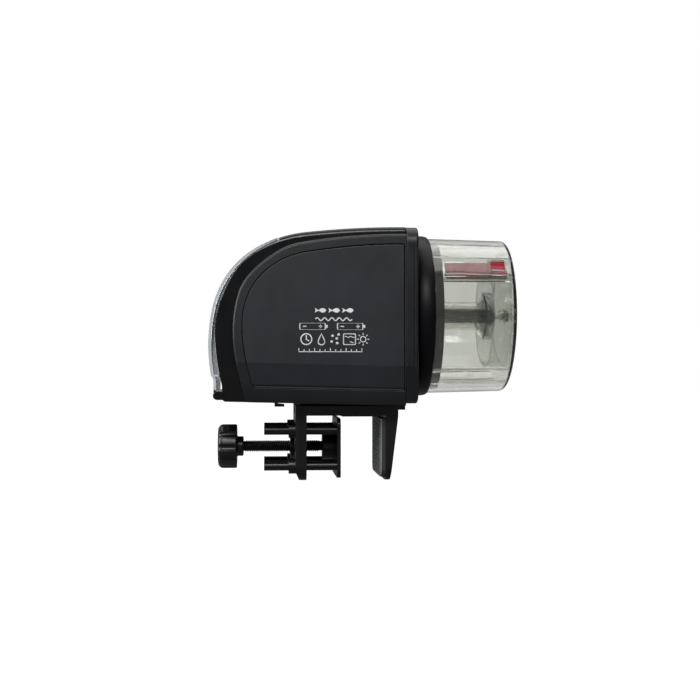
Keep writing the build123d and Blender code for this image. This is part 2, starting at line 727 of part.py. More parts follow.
# contact plates, one at each end of each cell, with a conical spring at the flat end
with BuildPart() as battery_contacts:
    with BuildSketch(Plane.YZ.offset(CONTACT_LOW_X)):
        with Locations(*((CELL_Y, z) for z in CELL_ZS)):
            Rectangle(CONTACT_W, CONTACT_H)
    extrude(amount=CONTACT_T)
    with BuildSketch(Plane.YZ.offset(CONTACT_HIGH_X - CONTACT_T)):
        with Locations(*((CELL_Y, z) for z in CELL_ZS)):
            Rectangle(CONTACT_W, CONTACT_H)
    extrude(amount=CONTACT_T)
    with Locations((CONTACT_LOW_X + CONTACT_T, CELL_Y, CELL_ZS[0])):
        Cone(
            SPRING_WIDE_R, SPRING_NARROW_R, CELL_X - CONTACT_LOW_X - CONTACT_T,
            rotation=(0, 90, 0), align=(Align.CENTER, Align.CENTER, Align.MIN),
        )
    with Locations((CONTACT_HIGH_X - CONTACT_T, CELL_Y, CELL_ZS[1])):
        Cone(
            SPRING_WIDE_R, SPRING_NARROW_R, CONTACT_HIGH_X - CONTACT_T - CELL_X - CELL_L,
            rotation=(0, -90, 0), align=(Align.CENTER, Align.CENTER, Align.MIN),
        )
save(battery_contacts, "battery_contacts")


# ---------------------------------------------------------------- gear train

def tooth_angle(radius, pitch_r, teeth, backlash):
    """Half the angle that an involute tooth spans at a radius."""
    base_r = pitch_r * cos(PRESSURE)

    def involute(r):
        lean = acos(min(1.0, base_r / r))
        return tan(lean) - lean

    at_pitch = pi / (2 * teeth) - backlash / (2 * pitch_r)
    return at_pitch + involute(pitch_r) - involute(max(radius, base_r))


def gear_points(teeth, backlash=0.12, phase=0.0, steps=5):
    """Outline of an involute spur gear as (local x, local y), first tooth at angle `phase`."""
    pitch_r = MODULE * teeth / 2
    root_r = pitch_r - 1.2 * MODULE
    tip_r = pitch_r + 0.95 * MODULE
    radii = [root_r] + [root_r + 0.3 + (tip_r - root_r - 0.3) * i / steps for i in range(steps + 1)]
    points = []
    for tooth in range(teeth):
        middle = phase + 2 * pi * tooth / teeth
        for side, flank in ((-1, radii), (1, reversed(radii))):
            for r in flank:
                angle = middle + side * tooth_angle(r, pitch_r, teeth, backlash)
                points.append((r * cos(angle), r * sin(angle)))
    return points


def across(x, z=AXIS_Z):
    """Plane square to X with its origin on the axis at height z; local x is Y, local y is Z."""
    return Plane(origin=(x, 0, z), x_dir=(0, 1, 0), z_dir=(1, 0, 0))


section = Plane(origin=(0, 0, AXIS_Z), x_dir=(1, 0, 0), z_dir=(0, -1, 0))
drum_axis = Axis((0, 0, AXIS_Z), (1, 0, 0))

with BuildPart() as drum_gear:
    with BuildSketch(across(GEAR_X)):
        with BuildLine():
            Polyline(*gear_points(GEAR_TEETH, phase=pi / 2), close=True)
        make_face()
        Circle(SHAFT_R, mode=Mode.SUBTRACT)
        # lightened web with six round holes
        with PolarLocations(WEB_HOLE_AT, WEB_HOLES):
            Circle(WEB_HOLE_R, mode=Mode.SUBTRACT)
    extrude(amount=GEAR_T)
save(drum_gear, "drum_gear")

with BuildPart() as motor_pinion:
    with BuildSketch(across(GEAR_X - PINION_OVER, PINION_Z)):
        with BuildLine():
            Polyline(*gear_points(PINION_TEETH, phase=pi / 2 + pi / PINION_TEETH), close=True)
        make_face()
        Circle(MOTOR_SHAFT_R, mode=Mode.SUBTRACT)
    extrude(amount=GEAR_T + 2 * PINION_OVER)
save(motor_pinion, "motor_pinion")

with BuildPart() as output_shaft:
    with BuildSketch(across(SHAFT_X)):
        Circle(SHAFT_R)
    extrude(amount=SHAFT_END_X - SHAFT_X)
    chamfer(output_shaft.edges().filter_by(GeomType.CIRCLE), length=0.4)
save(output_shaft, "output_shaft")

# cam with one notch, under the switch that stops the motor after each turn
with BuildPart() as turn_cam:
    with BuildSketch(across(CAM_X)):
        Circle(CAM_R)
        Circle(SHAFT_R, mode=Mode.SUBTRACT)
        with Locations((0, CAM_R)):
            Circle(NOTCH_R, mode=Mode.SUBTRACT)
    extrude(amount=CAM_T)
save(turn_cam, "turn_cam")

# two flanged bushes, in the bulkhead and in the collar
with BuildPart() as shaft_bushes:
    for tube_x, flange_x in (
        (BULKHEAD_X, BULKHEAD_X + BULKHEAD_T),
        (COLLAR_END_X - BUSH_L, COLLAR_END_X - BUSH_L - BUSH_FLANGE_T),
    ):
        with BuildSketch(across(tube_x)):
            Circle(BUSH_R)
            Circle(SHAFT_R + FIT, mode=Mode.SUBTRACT)
        extrude(amount=BUSH_L)
        with BuildSketch(across(flange_x)):
            Circle(BUSH_FLANGE_R)
            Circle(SHAFT_R + FIT, mode=Mode.SUBTRACT)
        extrude(amount=BUSH_FLANGE_T)
save(shaft_bushes, "shaft_bushes")

# bulkhead across the housing: carries motor, shaft and turn switch
with BuildPart() as bulkhead:
    with BuildSketch(Plane.YZ.offset(BULKHEAD_X)):
        with Locations((0, (bottom_z(BULKHEAD_X) + WALL + BULKHEAD_TOP_Z) / 2)):
            Rectangle(2 * (SIDE_Y - WALL) - 0.4, BULKHEAD_TOP_Z - bottom_z(BULKHEAD_X) - WALL - 0.4)
        with Locations((0, AXIS_Z)):
            Circle(BUSH_R, mode=Mode.SUBTRACT)
        with Locations((0, PINION_Z)):
            Circle(MOTOR_HOLE_R, mode=Mode.SUBTRACT)
    extrude(amount=BULKHEAD_T)
save(bulkhead, "bulkhead")

with BuildPart() as motor:
    with BuildSketch(across(BULKHEAD_X - MOTOR_L, PINION_Z)):
        Circle(MOTOR_R)
    extrude(amount=MOTOR_L)
    fillet(motor.edges().filter_by(GeomType.CIRCLE), radius=0.8)
    with BuildSketch(across(BULKHEAD_X - MOTOR_L - MOTOR_CAP_T, PINION_Z)):
        Circle(MOTOR_CAP_R)
    extrude(amount=MOTOR_CAP_T)
    with BuildSketch(across(BULKHEAD_X, PINION_Z)):
        Circle(MOTOR_SHAFT_R)
    extrude(amount=GEAR_X + GEAR_T + 2 * PINION_OVER - BULKHEAD_X)
save(motor, "motor")

# two straight wires from the motor's back to the circuit board
with BuildPart() as motor_wires:
    with BuildSketch(across(BOARD_X + BOARD_T, PINION_Z)):
        with Locations((-WIRE_Y, 0), (WIRE_Y, 0)):
            Circle(WIRE_R)
    extrude(amount=BULKHEAD_X - MOTOR_L - BOARD_X - BOARD_T)
save(motor_wires, "motor_wires")

with BuildPart() as turn_switch:
    with BuildSketch(across(BULKHEAD_X - TURN_SWITCH_L)):
        with Locations((0, CAM_R + 5.0)):
            Rectangle(TURN_SWITCH_W, TURN_SWITCH_H)
    extrude(amount=TURN_SWITCH_L)
    with BuildSketch(across(CAM_X)):
        with Locations((0, CAM_R + CLEAR)):
            Rectangle(2.0, 2.0, align=(Align.CENTER, Align.MIN))
    extrude(amount=CAM_T)
save(turn_switch, "turn_switch")


# ---------------------------------------------------------------- drum

def across_turn(turn):
    """Plane through the drum's axis that faces outwards at an angle from +Y; local x is X."""
    return Plane(origin=(0, 0, AXIS_Z), x_dir=(1, 0, 0), z_dir=(0, cos(radians(turn)), sin(radians(turn))))


def end_wall_x(r):
    """Where the inner face of the crowned end wall lies at a radius."""
    sphere_r = ((DRUM_END_R - DRUM_WALL) ** 2 + CROWN ** 2) / (2 * CROWN)
    return DRUM_END_X - DRUM_WALL + CROWN - sphere_r + sqrt(sphere_r ** 2 - r ** 2)


slider_plane = across_turn(180 - SLIDER_ANGLE)

with BuildPart() as drum_base:
    with BuildSketch(section):
        with BuildLine():
            ThreePointArc((BASE_X, BASE_R), ((BASE_X + DRUM_X) / 2, RIM_R), (DRUM_X - 0.1, RIM_END_R))
            Polyline(
                (DRUM_X - 0.1, RIM_END_R), (DRUM_X - 0.1, SPIGOT_R), (SPIGOT_END_X, SPIGOT_R),
                (SPIGOT_END_X, SPIGOT_R - SPIGOT_T), (BASE_X + SPIGOT_T, SPIGOT_R - SPIGOT_T),
                (BASE_X + SPIGOT_T, BOSS_HUB_R), (SPINDLE_X, BOSS_HUB_R), (SPINDLE_X, 0),
                (SHAFT_END_X, 0), (SHAFT_END_X, SHAFT_R), (BASE_X, SHAFT_R), (BASE_X, BASE_R),
            )
        make_face()
    revolve(axis=drum_axis)
    fillet(rims(drum_base, RIM_END_R), radius=0.8)
    fillet(rims(drum_base, BASE_R), radius=0.6)
    # slots in the spigot for the drum's keys
    for turn in KEY_TURNS:
        with BuildSketch(across_turn(turn).offset(SPIGOT_R - SPIGOT_T - 1.0)):
            with Locations((DRUM_X, 0)):
                Rectangle(SPIGOT_END_X - DRUM_X + 1, KEY_SLOT_W, align=(Align.MIN, Align.CENTER))
        extrude(amount=SPIGOT_T + 2.0, mode=Mode.SUBTRACT)
save(drum_base, "drum_base")

with BuildPart() as food_drum:
    with BuildSketch(section):
        with BuildLine():
            Line((DRUM_X, DRUM_R), (DRUM_END_X, DRUM_END_R))
            TangentArc((DRUM_END_X + CROWN, 0), (DRUM_END_X, DRUM_END_R), tangent=(0, 1))
            Line((DRUM_END_X + CROWN, 0), (INNER_END_X + CROWN, 0))
            TangentArc((INNER_END_X + CROWN, 0), (INNER_END_X, INNER_END_R), tangent=(0, 1))
            Polyline((INNER_END_X, INNER_END_R), (DRUM_X, DRUM_R - DRUM_WALL), (DRUM_X, DRUM_R))
        make_face()
    revolve(axis=drum_axis)
    fillet(rims(food_drum, DRUM_END_R), radius=DRUM_CORNER_R)
    # keys along the inside
    for turn in KEY_TURNS:
        if turn != SLIDER_SIDE_TURN:
            with BuildSketch(across_turn(turn).offset(KEY_LOW_R)):
                with Locations((DRUM_X + CLEAR, 0)):
                    Rectangle(INNER_END_X - DRUM_X, KEY_W, align=(Align.MIN, Align.CENTER))
            extrude(amount=KEY_TOP_R - KEY_LOW_R)
    # outlet hole over the slider's gate
    with BuildSketch(slider_plane.offset(GATE_R - 1)):
        with Locations(((OUTLET_X + OUTLET_END_X) / 2, 0)):
            RectangleRounded(OUTLET_END_X - OUTLET_X, OUTLET_W, OUTLET_R)
    extrude(amount=5, mode=Mode.SUBTRACT)
    # guide rails of the slider; the upper one runs on into a slot of the spigot as a key
    for side, rail_x in ((-1, RAIL_X), (1, DRUM_X + CLEAR)):
        with BuildSketch(slider_plane.offset(RAIL_LOW_R)):
            with Locations((rail_x, side * (SLIDER_W / 2 + CLEAR + RAIL_T / 2))):
                Rectangle(RAIL_END_X - rail_x, RAIL_T, align=(Align.MIN, Align.CENTER))
        extrude(amount=RAIL_TOP_R - RAIL_LOW_R)
        # lips under the slider's edges, and above them as far as the gate travels
        for lip_r, lip_end_x in ((RAIL_LOW_R, RAIL_END_X), (SLIDER_LOW_R + SLIDER_T + CLEAR, LIP_END_X)):
            with BuildSketch(slider_plane.offset(lip_r)):
                with Locations((RAIL_X, side * (LIP_IN + LIP_W / 2))):
                    Rectangle(lip_end_x - RAIL_X, LIP_W, align=(Align.MIN, Align.CENTER))
            extrude(amount=RAIL_T)
    # end boss with a blind bearing for the pin, and the hole of the plug's peg
    with BuildSketch(across(SOCKET_WALL_X)):
        Circle(SOCKET_BOSS_R)
    extrude(amount=PEG_X - SOCKET_WALL_X)
    with BuildSketch(across(SOCKET_WALL_X - 1)):
        Circle(PIN_R + FIT)
    extrude(amount=PIN_END_X + CLEAR - SOCKET_WALL_X + 1, mode=Mode.SUBTRACT)
    with BuildSketch(across(PEG_X)):
        Circle(PEG_R)
    extrude(amount=5, mode=Mode.SUBTRACT)
save(food_drum, "food_drum")

with BuildPart() as portion_slider:
    with BuildSketch(slider_plane.offset(SLIDER_LOW_R)):
        with Locations((SLIDER_X, 0)):
            Rectangle(SLIDER_END_X - SLIDER_X, SLIDER_W, align=(Align.MIN, Align.CENTER))
    extrude(amount=SLIDER_T)
    # thick gate at the end, shaped to the drum's inside
    with BuildSketch(slider_plane.offset(SLIDER_LOW_R)):
        with Locations((GATE_X, 0)):
            Rectangle(SLIDER_END_X - GATE_X, SLIDER_W, align=(Align.MIN, Align.CENTER))
    extrude(amount=5)
    with BuildSketch(across(SLIDER_X - 10)):
        Circle(GATE_R)
    extrude(amount=50, mode=Mode.INTERSECT)
    # raised finger pip
    with BuildSketch(slider_plane.offset(SLIDER_LOW_R + SLIDER_T - 0.2)):
        with Locations((SLIDER_X + PIP_AT, 0)):
            SlotOverall(PIP_L, PIP_W)
    extrude(amount=PIP_H + 0.2)
save(portion_slider, "portion_slider")

# spindle core up the middle, on the base's boss
with BuildPart() as spindle:
    with BuildSketch(across(SPINDLE_X)):
        Circle(SPINDLE_R)
    extrude(amount=SPINDLE_END_X - SPINDLE_X)
    chamfer(spindle.faces().sort_by(Axis.X)[-1].edges(), length=0.4)
    with BuildSketch(across(PIN_X)):
        Circle(PIN_R)
    extrude(amount=SPINDLE_END_X - PIN_X + 1, mode=Mode.SUBTRACT)
save(spindle, "spindle")

# clear tube round the core that keeps the food off it, flaring to the hub wheel
with BuildPart() as spindle_tube:
    with BuildSketch(section):
        with BuildLine():
            Polyline(
                (SPINDLE_X, TUBE_R), (TUBE_END_X, TUBE_R), (HUB_X, HUB_R), (HUB_X, HUB_R - 1.4),
                (TUBE_END_X + 0.4, TUBE_R - TUBE_T), (SPINDLE_X, TUBE_R - TUBE_T),
                close=True,
            )
        make_face()
    revolve(axis=drum_axis)
save(spindle_tube, "spindle_tube")

with BuildPart() as hub_wheel:
    with BuildSketch(section):
        with BuildLine():
            Polyline(
                (HUB_X, SPINDLE_R), (HUB_X, HUB_R), (HUB_END_X, HUB_R), (HUB_END_X, HUB_R - HUB_RIM_T),
                (HUB_X + HUB_WEB_T, HUB_R - HUB_RIM_T), (HUB_X + HUB_WEB_T, HUB_EYE_R),
                (HUB_END_X, HUB_EYE_R), (HUB_END_X, SPINDLE_R),
                close=True,
            )
        make_face()
    revolve(axis=drum_axis)
    fillet(rims(hub_wheel, HUB_R).sort_by(Axis.X)[-1], radius=0.5)
save(hub_wheel, "hub_wheel")

with BuildPart() as spindle_pin:
    with BuildSketch(across(PIN_X)):
        Circle(PIN_R)
    extrude(amount=PIN_END_X - PIN_X)
save(spindle_pin, "spindle_pin")

# button-shaped plug on the drum's end, with a peg into its wall
with BuildPart() as drum_plug:
    with BuildSketch(across(DRUM_END_X + CROWN)):
        Circle(PLUG_R)
    extrude(amount=PLUG_T)
    fillet(drum_plug.faces().sort_by(Axis.X)[-1].edges(), radius=0.7)
    with BuildSketch(across(PEG_X)):
        Circle(PEG_R)
    extrude(amount=DRUM_END_X + CROWN - PEG_X)
save(drum_plug, "drum_plug")

# ring inside the drum's end that keeps the food against the gate
with BuildPart() as portion_ring:
    with BuildSketch(section):
        with BuildLine():
            Polyline(
                (RING_X, RING_R - RING_T), (RING_X, RING_R), (end_wall_x(RING_R), RING_R),
                (end_wall_x(RING_R - RING_T) - 0.01, RING_R - RING_T),
                close=True,
            )
        make_face()
    revolve(axis=drum_axis)
save(portion_ring, "portion_ring")


# ---------------------------------------------------------------- clamp

with BuildPart() as clamp_bracket:
    with BuildSketch(Plane.XZ.offset(-CLAMP_Y)):
        with BuildLine():
            Polyline(
                (LEG_X, BAR_TOP_Z), (BAR_END_X, BAR_TOP_Z), (BAR_END_X, LIP_Z), (JAW_OUT_X, LIP_Z),
                (JAW_OUT_X, 0), (JAW_TIP_X, LEG_LOW_Z), (JAW_X, LEG_LOW_Z), (JAW_X, 0), (LEG_IN_X, 0),
                (LEG_IN_X, LEG_LOW_Z), (LEG_X + 1.7, LEG_LOW_Z), (LEG_X, LEG_LOW_Z + 3.8),
                close=True,
            )
        make_face()
    extrude(amount=2 * CLAMP_Y)
    # rounded lower corners of both legs
    with BuildSketch(Plane.YZ.offset(LEG_X - 1)):
        with Locations((0, BAR_TOP_Z)):
            Rectangle(2 * CLAMP_Y, BAR_TOP_Z - LEG_LOW_Z, align=(Align.CENTER, Align.MAX))
        fillet(vertices().sort_by(Axis.Y)[:2], radius=CORNER_R)
    extrude(amount=60, mode=Mode.INTERSECT)
    # reliefs beside the rim's seat, so that plate and pad stand clear of it
    for low_x, high_x in ((LEG_IN_X, SEAT_X), (SEAT_END_X, JAW_X)):
        with BuildSketch(Plane.XZ.offset(-CLAMP_Y)):
            with Locations((low_x, 0)):
                Rectangle(high_x - low_x, SEAT_RELIEF, align=(Align.MIN, Align.MIN))
        extrude(amount=2 * CLAMP_Y, mode=Mode.SUBTRACT)
    # T-slot for the housing's rail
    with BuildSketch(Plane.YZ.offset(LEG_X - 1)):
        with Locations((0, SLOT_LOW_Z)):
            Rectangle(2 * SLOT_HALF, SLOT_TOP_Z - SLOT_LOW_Z, align=(Align.CENTER, Align.MIN))
            Rectangle(2 * NECK_HALF, 10, align=(Align.CENTER, Align.MIN))
    extrude(amount=60, mode=Mode.SUBTRACT)
    # guide bosses on the left leg
    with BuildSketch(Plane.YZ.offset(LEG_X - GUIDE_OUT)):
        with Locations(*ROD_PLACES):
            Circle(GUIDE_R)
    extrude(amount=GUIDE_OUT + 0.5)
    with BuildSketch(Plane.YZ.offset(LEG_X - NUT_OUT)):
        with Locations((0, SCREW_Z)):
            Circle(NUT_R)
    extrude(amount=NUT_OUT + 0.5)
    with BuildSketch(Plane.YZ.offset(LEG_X - GUIDE_OUT - 1)):
        with Locations(*ROD_PLACES):
            Circle(ROD_R + 0.1)
        with Locations((0, SCREW_Z)):
            Circle(SCREW_R + 0.08)
    extrude(amount=12, mode=Mode.SUBTRACT)
save(clamp_bracket, "clamp_bracket")

with BuildPart() as jaw_pad:
    with BuildSketch(Plane.YZ.offset(PAD_FACE_X)):
        with Locations((0, PAD_TOP_Z)):
            Rectangle(2 * PAD_HALF, PAD_H, align=(Align.CENTER, Align.MAX))
        fillet(vertices().sort_by(Axis.Y)[:2], radius=PAD_R)
    extrude(amount=JAW_X - PAD_FACE_X)
save(jaw_pad, "jaw_pad")

with BuildPart() as pressure_plate:
    with BuildSketch(Plane.YZ.offset(PLATE_X)):
        with Locations((0, SCREW_Z)):
            RectangleRounded(2 * PLATE_HALF, PLATE_H, 3.0)
    extrude(amount=PLATE_T)
    with BuildSketch(Plane.YZ.offset(SOCKET_X)):
        with Locations((0, SCREW_Z)):
            Circle(SOCKET_R)
    extrude(amount=PLATE_X - SOCKET_X)
    with BuildSketch(Plane.YZ.offset(ROD_X)):
        with Locations(*ROD_PLACES):
            Circle(ROD_R)
    extrude(amount=PLATE_X - ROD_X)
    # blind socket of the screw's tip, with the groove that holds it
    with BuildSketch(Plane.YZ.offset(SOCKET_X - 1)):
        with Locations((0, SCREW_Z)):
            Circle(SCREW_ROOT_R + FIT)
    extrude(amount=5.4, mode=Mode.SUBTRACT)
save(pressure_plate, "pressure_plate")

screw_axis = Axis((0, 0, SCREW_Z), (1, 0, 0))
with BuildPart() as clamp_screw:
    ridges = int((THREAD_END_X - SCREW_X) / SCREW_PITCH)
    outline = [(KNOB_BORE_X, 0), (KNOB_BORE_X, SCREW_ROOT_R), (SCREW_X, SCREW_ROOT_R)]
    for i in range(ridges):
        x = SCREW_X + i * SCREW_PITCH
        outline += [(x + 0.4, SCREW_R), (x + 0.6, SCREW_R), (x + 1.0, SCREW_ROOT_R)]
    outline += [(SCREW_TIP_X, SCREW_ROOT_R), (SCREW_TIP_X, 0)]
    with BuildSketch(Plane(origin=(0, 0, SCREW_Z), x_dir=(1, 0, 0), z_dir=(0, -1, 0))):
        with BuildLine():
            Polyline(*outline, close=True)
        make_face()
    revolve(axis=screw_axis)
save(clamp_screw, "clamp_screw")

with BuildPart() as clamp_knob:
    with BuildSketch(Plane.YZ.offset(KNOB_X)):
        with Locations((0, SCREW_Z)):
            Circle(KNOB_R)
            with PolarLocations(KNOB_R + 1.0, KNOB_LOBES):
                Circle(LOBE_GAP_R, mode=Mode.SUBTRACT)
    extrude(amount=KNOB_END_X - KNOB_X)
    with BuildSketch(Plane.YZ.offset(KNOB_END_X)):
        with Locations((0, SCREW_Z)):
            Circle(KNOB_NECK_R)
    extrude(amount=SCREW_X - KNOB_END_X)
    with BuildSketch(Plane.YZ.offset(KNOB_BORE_X)):
        with Locations((0, SCREW_Z)):
            Circle(SCREW_ROOT_R)
    extrude(amount=20, mode=Mode.SUBTRACT)
save(clamp_knob, "clamp_knob")
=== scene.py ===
import math

import bmesh
import bpy
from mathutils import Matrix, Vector


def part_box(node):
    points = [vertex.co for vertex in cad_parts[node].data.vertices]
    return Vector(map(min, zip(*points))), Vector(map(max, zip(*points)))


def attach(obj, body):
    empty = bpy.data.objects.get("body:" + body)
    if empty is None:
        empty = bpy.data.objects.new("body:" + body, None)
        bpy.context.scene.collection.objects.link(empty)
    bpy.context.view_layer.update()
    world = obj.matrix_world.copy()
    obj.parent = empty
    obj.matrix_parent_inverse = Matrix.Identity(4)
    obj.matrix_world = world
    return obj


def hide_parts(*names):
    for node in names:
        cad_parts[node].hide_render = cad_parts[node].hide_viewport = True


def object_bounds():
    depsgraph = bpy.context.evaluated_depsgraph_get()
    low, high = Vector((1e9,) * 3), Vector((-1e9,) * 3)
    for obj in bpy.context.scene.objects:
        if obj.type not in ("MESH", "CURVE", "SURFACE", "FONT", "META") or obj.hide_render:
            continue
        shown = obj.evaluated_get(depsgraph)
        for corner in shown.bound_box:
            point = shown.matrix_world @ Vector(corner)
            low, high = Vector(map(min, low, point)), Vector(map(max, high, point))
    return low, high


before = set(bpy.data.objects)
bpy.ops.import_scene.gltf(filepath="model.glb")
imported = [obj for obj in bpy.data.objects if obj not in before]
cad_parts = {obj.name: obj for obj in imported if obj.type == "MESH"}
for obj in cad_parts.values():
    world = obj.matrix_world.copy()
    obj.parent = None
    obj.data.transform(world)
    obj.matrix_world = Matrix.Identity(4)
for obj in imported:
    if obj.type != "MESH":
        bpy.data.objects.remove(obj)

# Looks of a clamp-on automatic fish feeder, in metres and in the part's own frame:
# origin at the rim seat under the clamp bar, +X towards the drum, +Z up, -Y the near side.

MM = 0.001
PLASTIC_IOR = 1.45
CAD_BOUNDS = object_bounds()
scene = bpy.context.scene


# ---------------------------------------------------------------- shader helpers

class Shader:
    """A material's node tree with short ways to add what every finish here uses."""

    def __init__(self, name):
        self.material = bpy.data.materials.new(name)
        self.material.use_nodes = True
        self.tree = self.material.node_tree
        self.tree.nodes.clear()
        self.surface = self.node("ShaderNodeBsdfPrincipled")
        output = self.node("ShaderNodeOutputMaterial")
        self.link(self.surface.outputs["BSDF"], output.inputs["Surface"])
        self.place = self.node("ShaderNodeTexCoord").outputs["Object"]

    def node(self, kind, **values):
        made = self.tree.nodes.new(kind)
        for key, value in values.items():
            setattr(made, key, value)
        return made

    def link(self, source, target):
        self.tree.links.new(source, target)

    def set(self, **values):
        for key, value in values.items():
            self.surface.inputs[key.replace("_", " ")].default_value = value

    def noise(self, size, detail=3.0, rough=0.55, stretch=(1, 1, 1)):
        """Noise from 0 to 1 whose features are about `size` metres across."""
        mapping = self.node("ShaderNodeMapping")
        mapping.inputs["Scale"].default_value = stretch
        self.link(self.place, mapping.inputs["Vector"])
        noise = self.node("ShaderNodeTexNoise")
        noise.inputs["Scale"].default_value = 1.0 / size
        noise.inputs["Detail"].default_value = detail
        noise.inputs["Roughness"].default_value = rough
        self.link(mapping.outputs["Vector"], noise.inputs["Vector"])
        return noise.outputs["Fac"]

    def along(self, axis):
        """Position along one of the part's axes, 0 for X, 1 for Y and 2 for Z."""
        parts = self.node("ShaderNodeSeparateXYZ")
        self.link(self.place, parts.inputs["Vector"])
        return parts.outputs[axis]

    def remap(self, value, low, high, to_low, to_high):
        ranged = self.node("ShaderNodeMapRange")
        for key, number in (
            ("From Min", low), ("From Max", high), ("To Min", to_low), ("To Max", to_high)
        ):
            ranged.inputs[key].default_value = number
        self.link(value, ranged.inputs["Value"])
        return ranged.outputs["Result"]

    def math(self, operation, a, b):
        made = self.node("ShaderNodeMath", operation=operation)
        for socket, value in zip(made.inputs, (a, b)):
            if isinstance(value, (int, float)):
                socket.default_value = value
            else:
                self.link(value, socket)
        return made.outputs["Value"]

    def mix(self, factor, a, b):
        made = self.node("ShaderNodeMix", data_type="RGBA")
        self.link(factor, made.inputs["Factor"])
        for socket, value in ((made.inputs["A"], a), (made.inputs["B"], b)):
            if isinstance(value, tuple):
                socket.default_value = (*value, 1.0)
            else:
                self.link(value, socket)
        return made.outputs["Result"]

    def rounded(self, radius):
        """A normal that rounds sharp edges, and a mask that is 1 on those edges."""
        bevel = self.node("ShaderNodeBevel", samples=6)
        bevel.inputs["Radius"].default_value = radius
        flat = self.node("ShaderNodeNewGeometry").outputs["Normal"]
        dot = self.node("ShaderNodeVectorMath", operation="DOT_PRODUCT")
        self.link(bevel.outputs["Normal"], dot.inputs[0])
        self.link(flat, dot.inputs[1])
        return bevel.outputs["Normal"], self.remap(dot.outputs["Value"], 0.995, 0.86, 0.0, 1.0)

    def bump(self, layers, normal=None):
        """Stack height layers of (value, depth in metres) over a normal."""
        for value, depth in layers:
            bump = self.node("ShaderNodeBump")
            bump.inputs["Distance"].default_value = depth
            bump.inputs["Strength"].default_value = 1.0
            self.link(value, bump.inputs["Height"])
            if normal is not None:
                self.link(normal, bump.inputs["Normal"])
            normal = bump.outputs["Normal"]
        self.link(normal, self.surface.inputs["Normal"])


def scaled(colour, factor):
    """A colour made lighter or darker, kept within 1."""
    return tuple(min(1.0, channel * factor) for channel in colour)


def moulded(
    name, colour, rough,
    grain=0.35 * MM, depth=0.012 * MM, wear=2.2, vary=0.16, gloss=0.3,
):
    """Moulded plastic: fine grain, uneven gloss, faint smears, edges rubbed lighter."""
    s = Shader(name)
    s.set(Specular_IOR_Level=gloss)
    normal, edges = s.rounded(0.35 * MM)
    blotch = s.noise(14 * MM, 4.0)
    smear = s.noise(9 * MM, 5.0, 0.6, (1.0, 1.0, 0.35))
    fine = s.noise(grain, 2.0)
    body = s.mix(s.remap(blotch, 0.3, 0.7, 0.0, 1.0), scaled(colour, 1 - vary), scaled(colour, 1 + vary))
    rubbed = s.math("MULTIPLY", edges, s.remap(s.noise(2.5 * MM, 4.0), 0.35, 0.65, 0.15, 0.9))
    s.link(s.mix(rubbed, body, scaled(colour, wear)), s.surface.inputs["Base Color"])
    uneven = s.remap(smear, 0.3, 0.7, rough - 0.07, rough + 0.07)
    uneven = s.math("ADD", uneven, s.remap(fine, 0, 1, -0.03, 0.03))
    s.link(s.math("SUBTRACT", uneven, s.math("MULTIPLY", rubbed, 0.10)), s.surface.inputs["Roughness"])
    s.bump([(fine, depth), (s.noise(5 * MM, 2.0), 0.02 * MM)], normal)
    return s.material


def shell(name, low, high, low_rough, high_rough):
    """Housing plastic: polished and much darker on the recessed sides, partly as painted shade of the
    recess; etched and paler on the raised pads.
    """
    s = Shader(name)
    s.set(Specular_IOR_Level=0.3)
    normal, edges = s.rounded(0.4 * MM)
    side = s.remap(s.math("ABSOLUTE", s.along(1), 0.0), 32.0 * MM, 35.0 * MM, 0.0, 1.0)
    fine = s.noise(0.4 * MM, 2.0)
    blotch = s.remap(s.noise(12 * MM, 4.0), 0.3, 0.7, 0.0, 1.0)
    pale = s.mix(blotch, scaled(high, 0.88), scaled(high, 1.14))
    # Painted shade in part: the recessed central band takes a far darker colour, both for its glossier
    # finish and as the shade of the recess.
    recess_finish_and_shade = s.mix(blotch, scaled(low, 0.85), scaled(low, 1.2))
    rubbed = s.math("MULTIPLY", edges, s.remap(s.noise(2.5 * MM, 4.0), 0.35, 0.65, 0.1, 0.8))
    s.link(s.mix(rubbed, s.mix(side, recess_finish_and_shade, pale), scaled(high, 2.4)), s.surface.inputs["Base Color"])
    smear = s.remap(s.noise(8 * MM, 5.0, 0.6, (1.0, 1.0, 0.35)), 0.3, 0.7, -0.05, 0.06)
    rough = s.math("ADD", s.remap(side, 0.0, 1.0, low_rough, high_rough), smear)
    s.link(s.math("ADD", rough, s.remap(fine, 0, 1, -0.02, 0.03)), s.surface.inputs["Roughness"])
    s.bump([(s.math("MULTIPLY", fine, side), 0.014 * MM), (s.noise(6 * MM, 2.0), 0.02 * MM)], normal)
    return s.material


def clear(name, tint, rough, depth=0.004 * MM, edge_on_shade=0.4, sharp_edge_shade=0.75):
    """Clear plastic: moulding waves, fine scratches, and painted shade where it is seen edge-on and along
    its sharp edges.
    """
    s = Shader(name)
    s.set(Transmission_Weight=1.0, IOR=PLASTIC_IOR, Specular_IOR_Level=0.35)
    normal, edges = s.rounded(0.25 * MM)
    cloud = s.noise(11 * MM, 3.0)
    body = s.mix(s.remap(cloud, 0.3, 0.7, 0.0, 1.0), scaled(tint, 0.97), scaled(tint, 1.02))
    # Painted shade: the tint darkens where the surface is seen edge-on.
    weight = s.node("ShaderNodeLayerWeight")
    weight.inputs["Blend"].default_value = 0.5
    edge_on_shade_mask = s.remap(weight.outputs["Facing"], 0.72, 1.0, 0.0, 1.0)
    body = s.mix(edge_on_shade_mask, body, scaled(tint, edge_on_shade))
    # Painted shade: the tint darkens along sharp edges too.
    body = s.mix(s.math("MULTIPLY", edges, 0.8), body, scaled(tint, sharp_edge_shade))
    s.link(body, s.surface.inputs["Base Color"])
    scratch = s.noise(0.5 * MM, 2.0, 0.5, (0.06, 1.0, 1.0))
    s.link(s.remap(scratch, 0.45, 0.75, rough, rough + 0.08), s.surface.inputs["Roughness"])
    s.bump([(s.noise(7 * MM, 1.0), 0.02 * MM), (scratch, depth)], normal)
    return s.material


